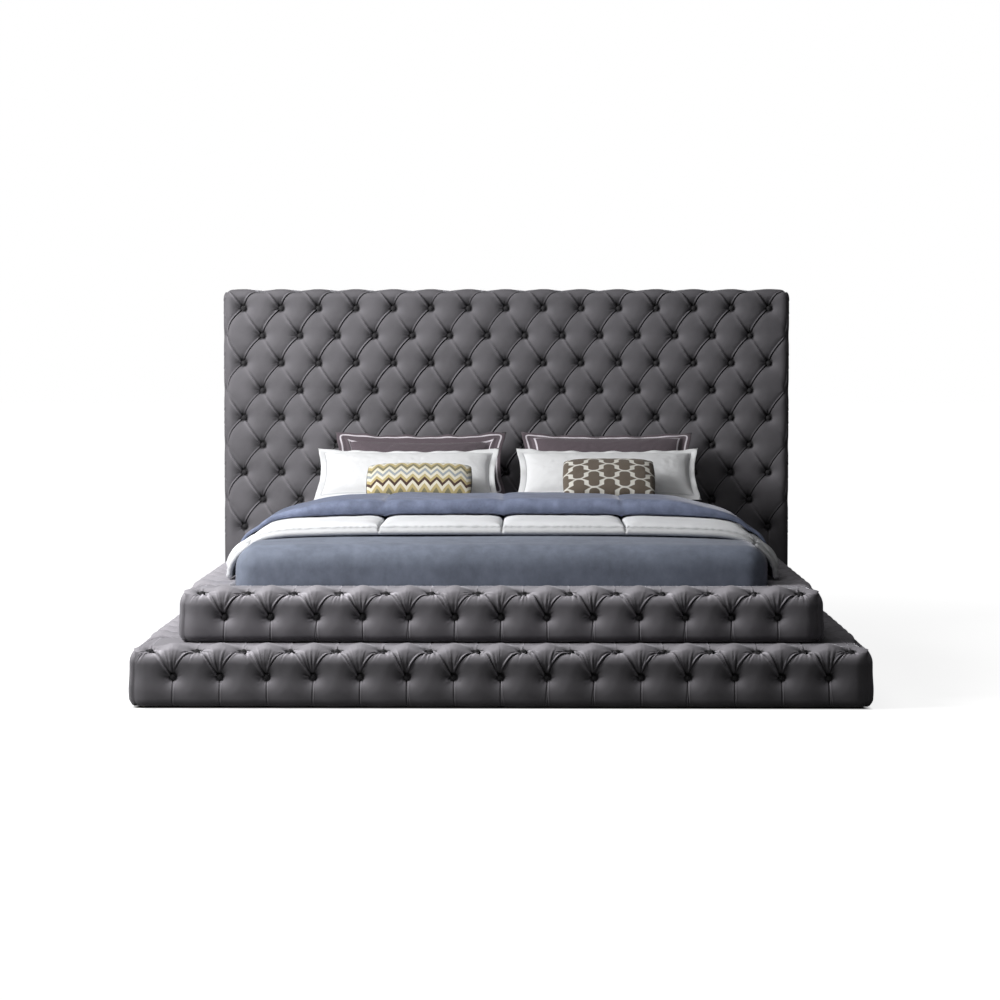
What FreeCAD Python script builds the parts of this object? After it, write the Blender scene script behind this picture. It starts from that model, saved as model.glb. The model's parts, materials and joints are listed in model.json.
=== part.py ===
import FreeCAD, Part
import os
import re

import Sketcher

# Upholstered bed with a deep-tufted headboard and a two-tier tufted base, its mattress, bedding and pillows.
# Row frame, in millimetres: origin on the floor under the middle of the footprint, +X across the bed,
# +Y towards the headboard, +Z up. Each base piece is drawn in a frame of its own: length along X, outer
# face on Y = 0, Z up.

DIMENSIONS = {
    # outer sizes
    "bed_width": 2640,
    "bed_depth": 2530,
    "bed_height": 1545,
    "glide_height": 8,
    "glide_radius": 15,
    # the two tiers of the base
    "ledge": 160,
    "plinth_top": 222,
    "rail_top": 414,
    "foot_rail": 190,
    "side_rail": 165,
    # headboard
    "headboard_width": 2505,
    "headboard_thick": 117,
    "headboard_pad": 45,
    "headboard_border": 25,
    "panel_thick": 12,
    "cloth_thick": 2,
    "post_width": 60,
    "cross_rail": 90,
    "bottom_rail_low": 60,
    "stile_width": 45,
    "stile_count": 3,
    # upholstery layers and tufting
    "pad_thick": 30,
    "lining_thick": 10,
    "foam_thick": 20,
    "tuft_pitch": 166,
    "tuft_row": 121,
    "tuft_top_row": 1460,
    "tuft_corner": 158,
    "tuft_setback": 45,
    "lower_button_height": 111,
    "upper_button_height": 309,
    "pocket_radius": 14,
    "pocket_depth": 22,
    "button_radius": 11,
    "button_rim": 3,
    "button_crown": 5,
    "button_flat": 2,
    # timber ladder frames
    "rung_pitch": 250,
    "rung_width": 20,
    "board_thick": 22,
    # slat deck
    "slat_top": 255,
    "slat_thick": 20,
    "slat_width": 70,
    "slat_pitch": 166,
    "slat_count": 12,
    "slat_gap": 3,
    "ledger_width": 40,
    "ledger_height": 50,
    "beam_width": 60,
    "beam_height": 60,
    "hanger_thick": 3,
    "leg_width": 50,
    "leg_pitch": 650,
    "leg_count": 3,
    "foot_radius": 20,
    "foot_height": 15,
    # steel corner brackets and their screws
    "bracket_leg": 80,
    "bracket_thick": 5,
    "bracket_height": 110,
    "bracket_hole_out": 48,
    "screw_radius": 4,
    "screw_length": 45,
    "screw_head_radius": 8,
    "screw_head": 5,
    "screw_hole_radius": 4.5,
    "headboard_bolt": 108,
    # mattress and bedding
    "mattress_width": 1930,
    "mattress_length": 2030,
    "mattress_thick": 279,
    "mattress_corner": 60,
    "deck_gap": 1,
    "coverlet_thick": 20,
    "coverlet_hem": 300,
    "coverlet_gap": 5,
    "comforter_front": -675,
    "comforter_back": 1130,
    "comforter_top": 600,
    "comforter_half": 1055,
    "comforter_hem": 420,
    "blanket_front": -235,
    "blanket_back": 255,
    "blanket_top": 696,
    "blanket_half": 1092,
    "blanket_hem": 450,
    # pillows: middle across the bed, width, height along the slope, thickness, and where the top edge is
    "pillow_tilt": 52,
    "sham_left_middle": -373,
    "sham_right_middle": 441,
    "sham_width": 735,
    "sham_slope": 490,
    "sham_thick": 120,
    "sham_back": 1080,
    "sham_crest": 933,
    "pillow_left_middle": -413,
    "pillow_right_middle": 435,
    "pillow_width": 763,
    "pillow_slope": 398,
    "pillow_thick": 120,
    "pillow_back": 790,
    "pillow_crest": 872,
    "lumbar_left_middle": -355,
    "lumbar_left_width": 433,
    "lumbar_left_slope": 262,
    "lumbar_left_crest": 808,
    "lumbar_right_middle": 433,
    "lumbar_right_width": 376,
    "lumbar_right_slope": 290,
    "lumbar_right_crest": 829,
    "lumbar_thick": 100,
    "lumbar_back": 520,
}

SIDE_BUTTONS = 12  # along the face of each side piece
HEAD_BUTTONS = 15  # in the headboard's wide rows; the rows between them have one fewer
HEAD_ROWS = 9
BRACKET_HOLES = (0.25, 0.75)  # heights of a bracket's holes, as shares of its height
GLIDE_SPOTS = (-1, -0.5, 0, 0.5)  # along each side, as shares of half the bed's depth
UPRIGHT = 0.99  # least upward share of an edge's direction that counts as upright
CROWN_SHOULDER = 0.72  # height of a button's crown half way in, as a share of the crown
PILLOW_ROUND = 0.47  # edge radius of a pillow, as a share of its thickness

doc = FreeCAD.newDocument("TuftedBed")
sub_parts = []


def make_sheet():
    sheet = doc.addObject("Spreadsheet::Sheet", "Sizes")
    for row, (alias, value) in enumerate(DIMENSIONS.items(), start=1):
        sheet.set(f"A{row}", alias)
        sheet.set(f"B{row}", str(value))
        sheet.setAlias(f"B{row}", alias)
    doc.recompute()
    return sheet


sheet = make_sheet()


def size(text):
    """The expression with every word that is a sheet alias read from the sheet."""
    return re.sub(r"[a-z_]+", lambda word: f"Sizes.{word[0]}" if word[0] in DIMENSIONS else word[0], text)


def keep(obj, label):
    obj.Label = label
    sub_parts.append(obj)
    return obj


def place(obj, x="0", y="0", z="0", turn=None):
    """Rotation first, because it is fixed, then the base point bound to the sheet."""
    if turn is not None:
        obj.Placement = FreeCAD.Placement(FreeCAD.Vector(), turn)
    for axis, value in zip("xyz", (x, y, z)):
        obj.setExpression(f"Placement.Base.{axis}", size(value))
    return obj


def about_z(degrees):
    return FreeCAD.Rotation(FreeCAD.Vector(0, 0, 1), degrees)


def about_x(degrees):
    return FreeCAD.Rotation(FreeCAD.Vector(1, 0, 0), degrees)


# ---------------------------------------------------------------- Part primitives


def box(name, corner, sides, turn=None):
    """A Part box from its low corner and its three sides, all of them expressions."""
    solid = doc.addObject("Part::Box", name)
    for prop, value in zip(("Length", "Width", "Height"), sides):
        solid.setExpression(prop, size(value))
    return place(solid, *corner, turn=turn)


def cylinder(name, centre, radius, length, turn=None):
    solid = doc.addObject("Part::Cylinder", name)
    solid.setExpression("Radius", size(radius))
    solid.setExpression("Height", size(length))
    return place(solid, *centre, turn=turn)


def fuse(name, pieces):
    joined = doc.addObject("Part::MultiFuse", name)
    joined.Shapes = pieces
    return joined


def cut(name, base, tool):
    result = doc.addObject("Part::Cut", name)
    result.Base = base
    result.Tool = tool
    return result


def group(name, pieces):
    """Separate solids that share one node."""
    compound = doc.addObject("Part::Compound", name)
    compound.Links = pieces
    return compound


def rounded(name, base, radius, keeps=lambda edge: True):
    """Part fillet of one radius on the edges that keeps() accepts."""
    doc.recompute()
    fillet = doc.addObject("Part::Fillet", name)
    fillet.Base = base
    fillet.Edges = [
        (number, radius, radius) for number, edge in enumerate(base.Shape.Edges, start=1) if keeps(edge)
    ]
    return fillet


# ---------------------------------------------------------------- PartDesign helpers


def new_body(label):
    body = doc.addObject("PartDesign::Body", label)
    body.AllowCompound = True
    return keep(body, label)


def sketch_on(body, name, role, lift="0"):
    """A sketch on one of the body's own origin planes, lifted along the plane's normal."""
    sketch = body.newObject("Sketcher::SketchObject", name)
    plane = next(item for item in body.Origin.OriginFeatures if item.Role == role)
    sketch.AttachmentSupport = [(plane, "")]
    sketch.MapMode = "FlatFace"
    sketch.setExpression("AttachmentOffset.Base.z", size(lift))
    return sketch


def pin_point(sketch, geometry, end, u, v, tag):
    """Hold one point of the sketch at (u, v) from the origin, both bound to the sheet."""
    point = sketch.getPoint(geometry, end)
    for kind, value, now in (("DistanceX", u, point.x), ("DistanceY", v, point.y)):
        number = sketch.addConstraint(Sketcher.Constraint(kind, -1, 1, geometry, end, now))
        sketch.renameConstraint(number, f"{tag}{kind[-1]}")
        sketch.setExpression(f"Constraints.{tag}{kind[-1]}", size(value))


def rectangle(sketch, low, high):
    """A closed rectangle from its low corner to its high corner, in the sketch's own axes."""
    corners = [FreeCAD.Vector(*uv, 0) for uv in ((10, 10), (20, 10), (20, 20), (10, 20))]
    first = sketch.GeometryCount
    for index in range(4):
        sketch.addGeometry(Part.LineSegment(corners[index], corners[(index + 1) % 4]))
    for index in range(4):
        line = first + index
        after = first + (index + 1) % 4
        sketch.addConstraint(Sketcher.Constraint("Coincident", line, 2, after, 1))
        sketch.addConstraint(Sketcher.Constraint("Vertical" if index % 2 else "Horizontal", line))
    pin_point(sketch, first, 1, *low, f"low{first}")
    pin_point(sketch, first + 1, 2, *high, f"high{first}")


def pad(body, name, sketch, length):
    feature = body.newObject("PartDesign::Pad", name)
    feature.Profile = sketch
    feature.setExpression("Length", size(length))
    sketch.Visibility = False
    return feature


def pocket(body, name, sketch, depth, upwards=False):
    feature = body.newObject("PartDesign::Pocket", name)
    feature.Profile = sketch
    feature.Reversed = upwards
    feature.setExpression("Length", size(depth))
    sketch.Visibility = False
    return feature


def repeat(body, feature, sketch, steps):
    """Repeat a feature along the sketch's own axes: steps are (axis, pitch, count)."""
    doc.recompute()
    many = len(steps) > 1
    transform = body.newObject("PartDesign::MultiTransform", feature.Name + "_grid") if many else None
    patterns = []
    for axis, pitch, count in steps:
        pattern = body.newObject("PartDesign::LinearPattern", f"{feature.Name}_{axis[0].lower()}")
        if not many:
            pattern.Originals = [feature]
        pattern.Direction = (sketch, [axis])
        pattern.setExpression("Length", size(f"({pitch}) * ({count} - 1)"))
        pattern.setExpression("Occurrences", size(count))
        patterns.append(pattern)
    if many:
        transform.Originals = [feature]
        transform.Transformations = patterns
        body.Tip = transform
    else:
        body.Tip = patterns[0]
    return body.Tip


def shell(label, outline, core, rise, core_rise, floor="0"):
    """A padded cap: a block over the outline, hollowed from below over the core to core_rise."""
    body = new_body(label)
    base = sketch_on(body, label + "_outline", "XY_Plane", floor)
    rectangle(base, *outline)
    pad(body, label + "_block", base, rise)
    inner = sketch_on(body, label + "_core", "XY_Plane", floor)
    rectangle(inner, *core)
    pocket(body, label + "_hollow", inner, core_rise, upwards=True)
    return body


def button_pockets(body, name, role, lift, first, steps, upwards=False):
    """Round pockets for a row or a grid of buttons, cut into a padded face."""
    sketch = sketch_on(body, name, role, lift)
    circle = sketch.addGeometry(Part.Circle(FreeCAD.Vector(50, 50, 0), FreeCAD.Vector(0, 0, 1), 10))
    pin_point(sketch, circle, 3, *first, "centre")
    radius = sketch.addConstraint(Sketcher.Constraint("Radius", circle, 10))
    sketch.renameConstraint(radius, "radius")
    sketch.setExpression("Constraints.radius", size("pocket_radius"))
    feature = pocket(body, name + "_pocket", sketch, "pocket_depth", upwards)
    return repeat(body, feature, sketch, steps)


# ---------------------------------------------------------------- buttons


def button_shape():
    """One upholstered button, its base on Z = 0: a low rim under a crowned top with a small flat."""
    radius = sheet.button_radius
    flat = sheet.button_flat
    rim = sheet.button_rim
    top = rim + sheet.button_crown
    shoulder = FreeCAD.Vector((radius + flat) / 2, 0, rim + sheet.button_crown * CROWN_SHOULDER)
    corners = [(0, 0), (radius, 0), (radius, rim), (flat, top), (0, top)]
    points = [FreeCAD.Vector(x, 0, z) for x, z in corners]
    edges = [
        Part.makeLine(points[0], points[1]),
        Part.makeLine(points[1], points[2]),
        Part.Arc(points[2], shoulder, points[3]).toShape(),
        Part.makeLine(points[3], points[4]),
        Part.makeLine(points[4], points[0]),
    ]
    profile = Part.Face(Part.Wire(edges))
    return profile.revolve(FreeCAD.Vector(0, 0, 0), FreeCAD.Vector(0, 0, 1), 360)


def buttons(label, seats):
    """Separate buttons, each at a pocket's floor; a seat is (point on the face, outward direction)."""
    one = button_shape()
    solids = []
    for point, outward in seats:
        solid = one.copy()
        turn = FreeCAD.Rotation(FreeCAD.Vector(0, 0, 1), outward)
        floor = point - outward * sheet.pocket_depth
        solid.Placement = FreeCAD.Placement(floor, turn)
        solids.append(solid)
    feature = doc.addObject("Part::Feature", label)
    feature.Shape = Part.makeCompound(solids)
    return keep(feature, label)


def row_of(first, step, count):
    return [first + step * index for index in range(count)]


# ---------------------------------------------------------------- one tufted piece of the base


def measure(text):
    """The number that an expression of sheet aliases and arithmetic stands for."""
    probe = doc.addObject("Part::Box", "probe")
    probe.setExpression("Length", size(text))
    probe.recompute()
    number = probe.Length.Value
    doc.removeObject(probe.Name)
    return number


def tufted_piece(name, where, length, depth, rise, row, back, cap, count, first, top_first, end_buttons):
    """Timber ladder, foam, tufted cover and buttons of one straight piece of the base.

    where is its placement (x, y, z, turn). The pad is on the outer face and on top, cap is the padding
    on each end, back is the lining on the inner face, row is the button row's distance below the top edge.
    """
    x, y, z, turn = where
    cover = shell(
        name + "_cover",
        (("0", "0"), (length, depth)),
        ((cap, "pad_thick"), (f"{length} - {cap}", f"{depth} - {back}")),
        rise,
        f"{rise} - pad_thick",
    )
    face_row = (first, f"{rise} - {row}")
    button_pockets(cover, name + "_face", "XZ_Plane", "0", face_row, [("H_Axis", "tuft_pitch", str(count))])
    top_count = str(count + 1) if end_buttons else str(count)
    top_row = (top_first, "tuft_setback")
    button_pockets(cover, name + "_top", "XY_Plane", rise, top_row, [("H_Axis", "tuft_pitch", top_count)])
    if end_buttons:
        end_row = ("tuft_corner", f"{rise} - {row}")
        steps = [("H_Axis", "tuft_pitch", str(end_buttons))]
        button_pockets(cover, name + "_near_end", "YZ_Plane", "0", end_row, steps, upwards=True)
        button_pockets(cover, name + "_far_end", "YZ_Plane", length, end_row, steps)
    place(cover, x, y, z, turn)

    inset = f"{cap} + foam_thick" if end_buttons else "0"
    foam = shell(
        name + "_foam",
        ((cap, "pad_thick"), (f"{length} - {cap}", f"{depth} - {back}")),
        ((inset, "pad_thick + foam_thick"), (f"{length} - ({inset})", f"{depth} - {back}")),
        f"{rise} - pad_thick",
        f"{rise} - pad_thick - foam_thick",
    )
    place(foam, x, y, z, turn)

    ladder(name + "_frame", inset, length, depth, back, rise, (x, y, z, turn))
    piece_buttons(name, cover, length, rise, row, count, first, top_first, end_buttons)


def ladder(label, inset, length, depth, back, rise, where):
    """Two boards on edge with cross rungs, glued up as one frame that fills the foam."""
    x, y, z, turn = where
    body = new_body(label)
    front = "pad_thick + foam_thick"
    rear = f"{depth} - {back}"
    outline = sketch_on(body, label + "_outline", "XY_Plane")
    rectangle(outline, (inset, front), (f"{length} - ({inset})", rear))
    pad(body, label + "_block", outline, f"{rise} - pad_thick - foam_thick")
    span = measure(f"{length} - 2 * ({inset})")
    bays = int(span // sheet.rung_pitch)
    margin = f"(({length}) - {bays} * rung_pitch + rung_width) / 2"
    window = sketch_on(body, label + "_window", "XY_Plane")
    rectangle(
        window,
        (margin, f"{front} + board_thick"),
        (f"{margin} + rung_pitch - rung_width", f"{rear} - board_thick"),
    )
    feature = pocket(body, label + "_bay", window, rise, upwards=True)
    repeat(body, feature, window, [("H_Axis", "rung_pitch", str(bays))])
    place(body, x, y, z, turn)


def piece_buttons(name, cover, length, rise, row, count, first, top_first, end_buttons):
    """The buttons of one piece: its face row, its top row and, on the front pieces, its two ends."""
    doc.recompute()
    height = measure(rise) - measure(row)
    far = measure(length)
    seats = []
    for x in row_of(measure(first), sheet.tuft_pitch, count):
        seats.append((FreeCAD.Vector(x, 0, height), FreeCAD.Vector(0, -1, 0)))
    top_count = count + 1 if end_buttons else count
    for x in row_of(measure(top_first), sheet.tuft_pitch, top_count):
        seats.append((FreeCAD.Vector(x, sheet.tuft_setback, measure(rise)), FreeCAD.Vector(0, 0, 1)))
    for y in row_of(sheet.tuft_corner, sheet.tuft_pitch, end_buttons):
        seats.append((FreeCAD.Vector(0, y, height), FreeCAD.Vector(-1, 0, 0)))
        seats.append((FreeCAD.Vector(far, y, height), FreeCAD.Vector(1, 0, 0)))
    node = buttons(name + "_buttons", seats)
    node.Placement = cover.Placement


def base_pieces():
    """Front, left and right pieces of the lower tier and of the upper tier standing on it."""
    board = "(bed_depth / 2 - headboard_thick)"
    lower = {
        "z": "glide_height",
        "rise": "(plinth_top - glide_height)",
        "row": "(plinth_top - lower_button_height)",
        "side": "(ledge + side_rail)",
        "foot": "(ledge + foot_rail)",
        "half": "(bed_width / 2)",
        "front": "(0 - bed_depth / 2)",
        "back": "0",
        "count": 15,
        "ends": 2,
    }
    upper = {
        "z": "plinth_top",
        "rise": "(rail_top - plinth_top)",
        "row": "(rail_top - upper_button_height)",
        "side": "side_rail",
        "foot": "foot_rail",
        "half": "(bed_width / 2 - ledge)",
        "front": "(ledge - bed_depth / 2)",
        "back": "lining_thick",
        "count": 13,
        "ends": 1,
    }
    for tier, name in ((lower, "lower"), (upper, "upper")):
        width = f"(2 * {tier['half']})"
        first = f"({width} - {tier['count'] - 1} * tuft_pitch) / 2"
        tufted_piece(
            f"foot_{name}",
            (f"0 - {tier['half']}", tier["front"], tier["z"], about_z(0)),
            width,
            tier["foot"],
            tier["rise"],
            tier["row"],
            tier["back"],
            "pad_thick",
            tier["count"],
            first,
            f"{first} - tuft_pitch / 2",
            tier["ends"],
        )
        # the side pieces carry on the front piece's button rhythm from its corner
        seam = f"({tier['front']} + {tier['foot']})"
        length = f"({board} - {seam})"
        start = f"(tuft_corner + {tier['ends']} * tuft_pitch - {tier['foot']})"
        last = f"({length} - {start} - {SIDE_BUTTONS - 1} * tuft_pitch)"
        for side, x, y, turn, begin in (
            ("right", tier["half"], seam, 90, start),
            ("left", f"0 - {tier['half']}", board, -90, last),
        ):
            tufted_piece(
                f"{side}_{name}",
                (x, y, tier["z"], about_z(turn)),
                length,
                tier["side"],
                tier["rise"],
                tier["row"],
                tier["back"],
                "0",
                SIDE_BUTTONS,
                begin,
                f"{begin} - tuft_pitch / 2" if side == "right" else f"{begin} + tuft_pitch / 2",
                0,
            )


# ---------------------------------------------------------------- headboard


def headboard_cover():
    rise = "(bed_height - glide_height)"
    cover = shell(
        "headboard_cover",
        (("0", "0"), ("headboard_width", "headboard_thick")),
        (("headboard_border", "headboard_pad"), ("headboard_width - headboard_border", "headboard_thick")),
        rise,
        f"{rise} - headboard_border",
    )
    lowest = f"(tuft_top_row - glide_height - {HEAD_ROWS - 1} * tuft_row)"
    rows = (
        ("wide_rows", HEAD_BUTTONS, lowest, (HEAD_ROWS + 1) // 2),
        ("narrow_rows", HEAD_BUTTONS - 1, f"{lowest} + tuft_row", HEAD_ROWS // 2),
    )
    for name, count, height, repeats in rows:
        first = (f"(headboard_width - {count - 1} * tuft_pitch) / 2", height)
        steps = [("H_Axis", "tuft_pitch", str(count)), ("V_Axis", "2 * tuft_row", str(repeats))]
        button_pockets(cover, name, "XZ_Plane", "0", first, steps)
    place(cover, "0 - headboard_width / 2", "bed_depth / 2 - headboard_thick", "glide_height")
    face = sheet.bed_depth / 2 - sheet.headboard_thick
    seats = []
    for row in range(HEAD_ROWS):
        count = HEAD_BUTTONS - row % 2
        z = sheet.tuft_top_row - row * sheet.tuft_row
        for x in row_of(-(count - 1) / 2 * sheet.tuft_pitch, sheet.tuft_pitch, count):
            seats.append((FreeCAD.Vector(x, face, z), FreeCAD.Vector(0, -1, 0)))
    buttons("headboard_buttons", seats)


def headboard_inside():
    """Foam, plywood and the timber frame behind the cover, then the cloth that closes the back."""
    half = "(headboard_width / 2 - headboard_border)"
    low = f"0 - {half}"
    width = f"2 * {half}"
    face = "bed_depth / 2 - headboard_thick"
    top = "(bed_height - headboard_border)"
    rise = f"({top} - glide_height)"
    layers = (
        ("headboard_foam", f"{face} + headboard_pad", "foam_thick"),
        ("headboard_panel", f"{face} + headboard_pad + foam_thick", "panel_thick"),
        ("headboard_back_cloth", "bed_depth / 2 - cloth_thick", "cloth_thick"),
    )
    for label, y, thick in layers:
        keep(box(label, (low, y, "glide_height"), (width, thick, rise)), label)
    timber_y = f"{face} + headboard_pad + foam_thick + panel_thick"
    timber = "(headboard_thick - headboard_pad - foam_thick - panel_thick - cloth_thick)"
    for label, x in (("headboard_post_left", low), ("headboard_post_right", f"{half} - post_width")):
        keep(box(label, (x, timber_y, "glide_height"), ("post_width", timber, rise)), label)
    inner = f"({half} - post_width)"
    middle = "(rail_top + bed_height) / 2"
    rails = (
        ("headboard_top_rail", f"{top} - cross_rail"),
        ("headboard_middle_rail", middle),
        ("headboard_bottom_rail", "bottom_rail_low"),
    )
    for label, z in rails:
        keep(box(label, (f"0 - {inner}", timber_y, z), (f"2 * {inner}", timber, "cross_rail")), label)
    stiles = []
    low_end = "(bottom_rail_low + cross_rail)"
    spans = (
        (low_end, f"({middle} - {low_end})"),
        (f"{middle} + cross_rail", f"({top} - 2 * cross_rail - {middle})"),
    )
    for index in range(int(sheet.stile_count)):
        x = f"{index - 1} * {inner} / 2 - stile_width / 2"
        for z, tall in spans:
            stiles.append(box("stile", (x, timber_y, z), ("stile_width", timber, tall)))
    keep(group("headboard_stiles", stiles), "headboard_stiles")


# ---------------------------------------------------------------- slat deck


WELL = "(bed_width / 2 - ledge - side_rail)"
FOOT_FACE = "(ledge + foot_rail - bed_depth / 2)"
HEAD_FACE = "(bed_depth / 2 - headboard_thick)"
SLAT_LOW = "(slat_top - slat_thick)"


def deck():
    long_run = f"({HEAD_FACE} - {FOOT_FACE})"
    for label, x in (("ledger_left", f"0 - {WELL}"), ("ledger_right", f"{WELL} - ledger_width")):
        corner = (x, FOOT_FACE, f"{SLAT_LOW} - ledger_height")
        keep(box(label, corner, ("ledger_width", long_run, "ledger_height")), label)
    beam_low = f"({SLAT_LOW} - beam_height)"
    beam_corner = ("0 - beam_width / 2", f"{FOOT_FACE} + hanger_thick", beam_low)
    beam_sides = ("beam_width", f"{long_run} - 2 * hanger_thick", "beam_height")
    keep(box("centre_beam", beam_corner, beam_sides), "centre_beam")
    hanger("beam_hanger_foot", FOOT_FACE, FOOT_FACE, beam_low)
    hanger("beam_hanger_head", f"{HEAD_FACE} - hanger_thick", f"{HEAD_FACE} - beam_width", beam_low)
    slats("slats_left", f"0 - {WELL} + slat_gap")
    slats("slats_right", "slat_gap")
    legs(beam_low)


def hanger(label, plate_y, seat_y, beam_low):
    """A steel angle: a plate screwed to the end face and a seat under the beam."""
    low = f"({beam_low} - hanger_thick)"
    plate_sides = ("2 * beam_width", "hanger_thick", "beam_height + hanger_thick")
    plate = box("plate", ("0 - beam_width", plate_y, low), plate_sides)
    seat = box("seat", ("0 - beam_width / 2", seat_y, low), ("beam_width", "beam_width", "hanger_thick"))
    keep(fuse(label, [plate, seat]), label)


def slats(label, x):
    """Sprung slats that rest on a ledger and on half of the centre beam."""
    body = new_body(label)
    outline = sketch_on(body, label + "_outline", "XY_Plane")
    rectangle(outline, ("0", "0"), (f"{WELL} - 2 * slat_gap", "slat_width"))
    feature = pad(body, label + "_slat", outline, "slat_thick")
    repeat(body, feature, outline, [("V_Axis", "slat_pitch", "slat_count")])
    run = "((slat_count - 1) * slat_pitch + slat_width)"
    place(body, x, f"({HEAD_FACE} + {FOOT_FACE} - {run}) / 2", SLAT_LOW)


def legs(beam_low):
    """Square legs under the beam, each on a round levelling foot."""
    timber = []
    feet = []
    for index in range(int(sheet.leg_count)):
        y = f"({HEAD_FACE} + {FOOT_FACE}) / 2 + ({index} - (leg_count - 1) / 2) * leg_pitch"
        corner = ("0 - leg_width / 2", f"{y} - leg_width / 2", "foot_height")
        timber.append(box("leg", corner, ("leg_width", "leg_width", f"{beam_low} - foot_height")))
        feet.append(cylinder("foot", ("0", y, "0"), "foot_radius", "foot_height"))
    keep(group("centre_legs", timber), "centre_legs")
    keep(group("centre_feet", feet), "centre_feet")


# ---------------------------------------------------------------- brackets, screws and glides


def corner_hardware():
    """Four steel angles in the well's corners under the slats, with the screws and bolts through them."""
    brackets = []
    screws = []
    bolts = []
    low = "(plinth_top - glide_height - bracket_height) / 2"
    for side in (-1, 1):
        for end, wall in ((-1, FOOT_FACE), (1, HEAD_FACE)):
            corner = (f"({side} * {WELL})", wall)
            angle = bracket_angle(corner, side, end, low)
            holes = []
            for share in BRACKET_HOLES:
                height = f"{low} + bracket_height * {share}"
                out_x = f"{corner[0]} - {side} * bracket_hole_out"
                out_y = f"{wall} - {end} * bracket_hole_out"
                across = (out_x, f"{wall} - {end} * bracket_thick", height)
                along = (f"{corner[0]} - {side} * bracket_thick", out_y, height)
                end_way = FreeCAD.Vector(0, end, 0)
                side_way = FreeCAD.Vector(side, 0, 0)
                holes += [bracket_hole(across, end_way), bracket_hole(along, side_way)]
                screws.append(screw(along, side_way, "screw_length"))
                if end < 0:
                    screws.append(screw(across, end_way, "screw_length"))
                else:
                    bolts.append(screw(across, end_way, "headboard_bolt"))
            brackets.append(cut("bracket", angle, group("holes", holes)))
    keep(group("corner_brackets", brackets), "corner_brackets")
    keep(group("bracket_screws", screws), "bracket_screws")
    keep(group("headboard_bolts", bolts), "headboard_bolts")


def bracket_angle(corner, side, end, low):
    """Two plates that meet in one corner of the well."""
    x, y = corner
    x_leg = x if side < 0 else f"{x} - bracket_leg"
    x_plate = x if side < 0 else f"{x} - bracket_thick"
    y_leg = y if end < 0 else f"{y} - bracket_leg"
    y_plate = y if end < 0 else f"{y} - bracket_thick"
    across = box("leg_across", (x_leg, y_plate, low), ("bracket_leg", "bracket_thick", "bracket_height"))
    along = box("leg_along", (x_plate, y_leg, low), ("bracket_thick", "bracket_leg", "bracket_height"))
    return fuse("angle", [across, along])


def along_axis(axis):
    return FreeCAD.Rotation(FreeCAD.Vector(0, 0, 1), axis)


def bracket_hole(centre, axis):
    return cylinder("hole", centre, "screw_hole_radius", "bracket_thick", along_axis(axis))


def screw(centre, axis, length):
    """A screw whose head bears on the bracket at centre and whose shank runs along axis."""
    turn = along_axis(axis)
    shank = cylinder("shank", centre, "screw_radius", length, turn)
    back = [f"{point} - ({part:g}) * screw_head" for point, part in zip(centre, axis)]
    head = cylinder("head", back, "screw_head_radius", "screw_head", turn)
    return fuse("screw", [shank, head])


def glides():
    """Round plastic glides under the lower tier's boards and under the two headboard posts."""
    spots = []
    inset = "(pad_thick + foam_thick + board_thick / 2)"
    for side in (-1, 1):
        for share in GLIDE_SPOTS:
            spots.append((f"{side} * (bed_width / 2 - {inset})", f"{share} * (bed_depth / 2 - {inset})"))
        post_x = "(headboard_width / 2 - headboard_border - post_width / 2)"
        spots.append((f"{side} * {post_x}", "bed_depth / 2 - cloth_thick - board_thick"))
    spots.append(("0", f"0 - (bed_depth / 2 - {inset})"))
    pads = [cylinder("glide", (x, y, "0"), "glide_radius", "glide_height") for x, y in spots]
    keep(group("floor_glides", pads), "floor_glides")


# ---------------------------------------------------------------- mattress, bedding and pillows


MATTRESS_FRONT = f"({FOOT_FACE} + coverlet_gap + coverlet_thick)"
MATTRESS_TOP = "(slat_top + deck_gap + mattress_thick)"


def mattress():
    corner = ("0 - mattress_width / 2", MATTRESS_FRONT, "slat_top + deck_gap")
    block = box("mattress_block", corner, ("mattress_width", "mattress_length", "mattress_thick"))
    upright = rounded("mattress_corners", block, sheet.mattress_corner, is_upright)
    keep(upright, "mattress")


def is_upright(edge):
    return abs(edge.tangentAt(edge.FirstParameter).z) > UPRIGHT


def draped(label, front, back, half, top, hem, inner_half, inner_top, closed_front=None):
    """A thick cover over the mattress: a top with a fall on each side and, if asked, over the foot."""
    outer_sides = (f"2 * ({half})", f"{back} - ({front})", f"{top} - ({hem})")
    outer = box(label + "_outer", (f"0 - ({half})", front, hem), outer_sides)
    inner_front = closed_front if closed_front else front
    inner = box(
        label + "_inner",
        (f"0 - ({inner_half})", inner_front, hem),
        (f"2 * ({inner_half})", f"{back} - ({inner_front})", f"{inner_top} - ({hem})"),
    )
    return keep(cut(label, outer, inner), label)


def bedding():
    coverlet_half = "(mattress_width / 2 + coverlet_thick)"
    coverlet_top = f"({MATTRESS_TOP} + coverlet_thick)"
    coverlet_front = f"({MATTRESS_FRONT} - coverlet_thick)"
    head_end = f"({MATTRESS_FRONT} + mattress_length)"
    draped(
        "coverlet",
        coverlet_front,
        head_end,
        coverlet_half,
        coverlet_top,
        "coverlet_hem",
        "mattress_width / 2",
        MATTRESS_TOP,
        MATTRESS_FRONT,
    )
    draped(
        "comforter",
        "comforter_front",
        "comforter_back",
        "comforter_half",
        "comforter_top",
        "comforter_hem",
        coverlet_half,
        coverlet_top,
    )
    draped(
        "folded_blanket",
        "blanket_front",
        "blanket_back",
        "blanket_half",
        "blanket_top",
        "blanket_hem",
        "comforter_half",
        "comforter_top",
    )


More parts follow.
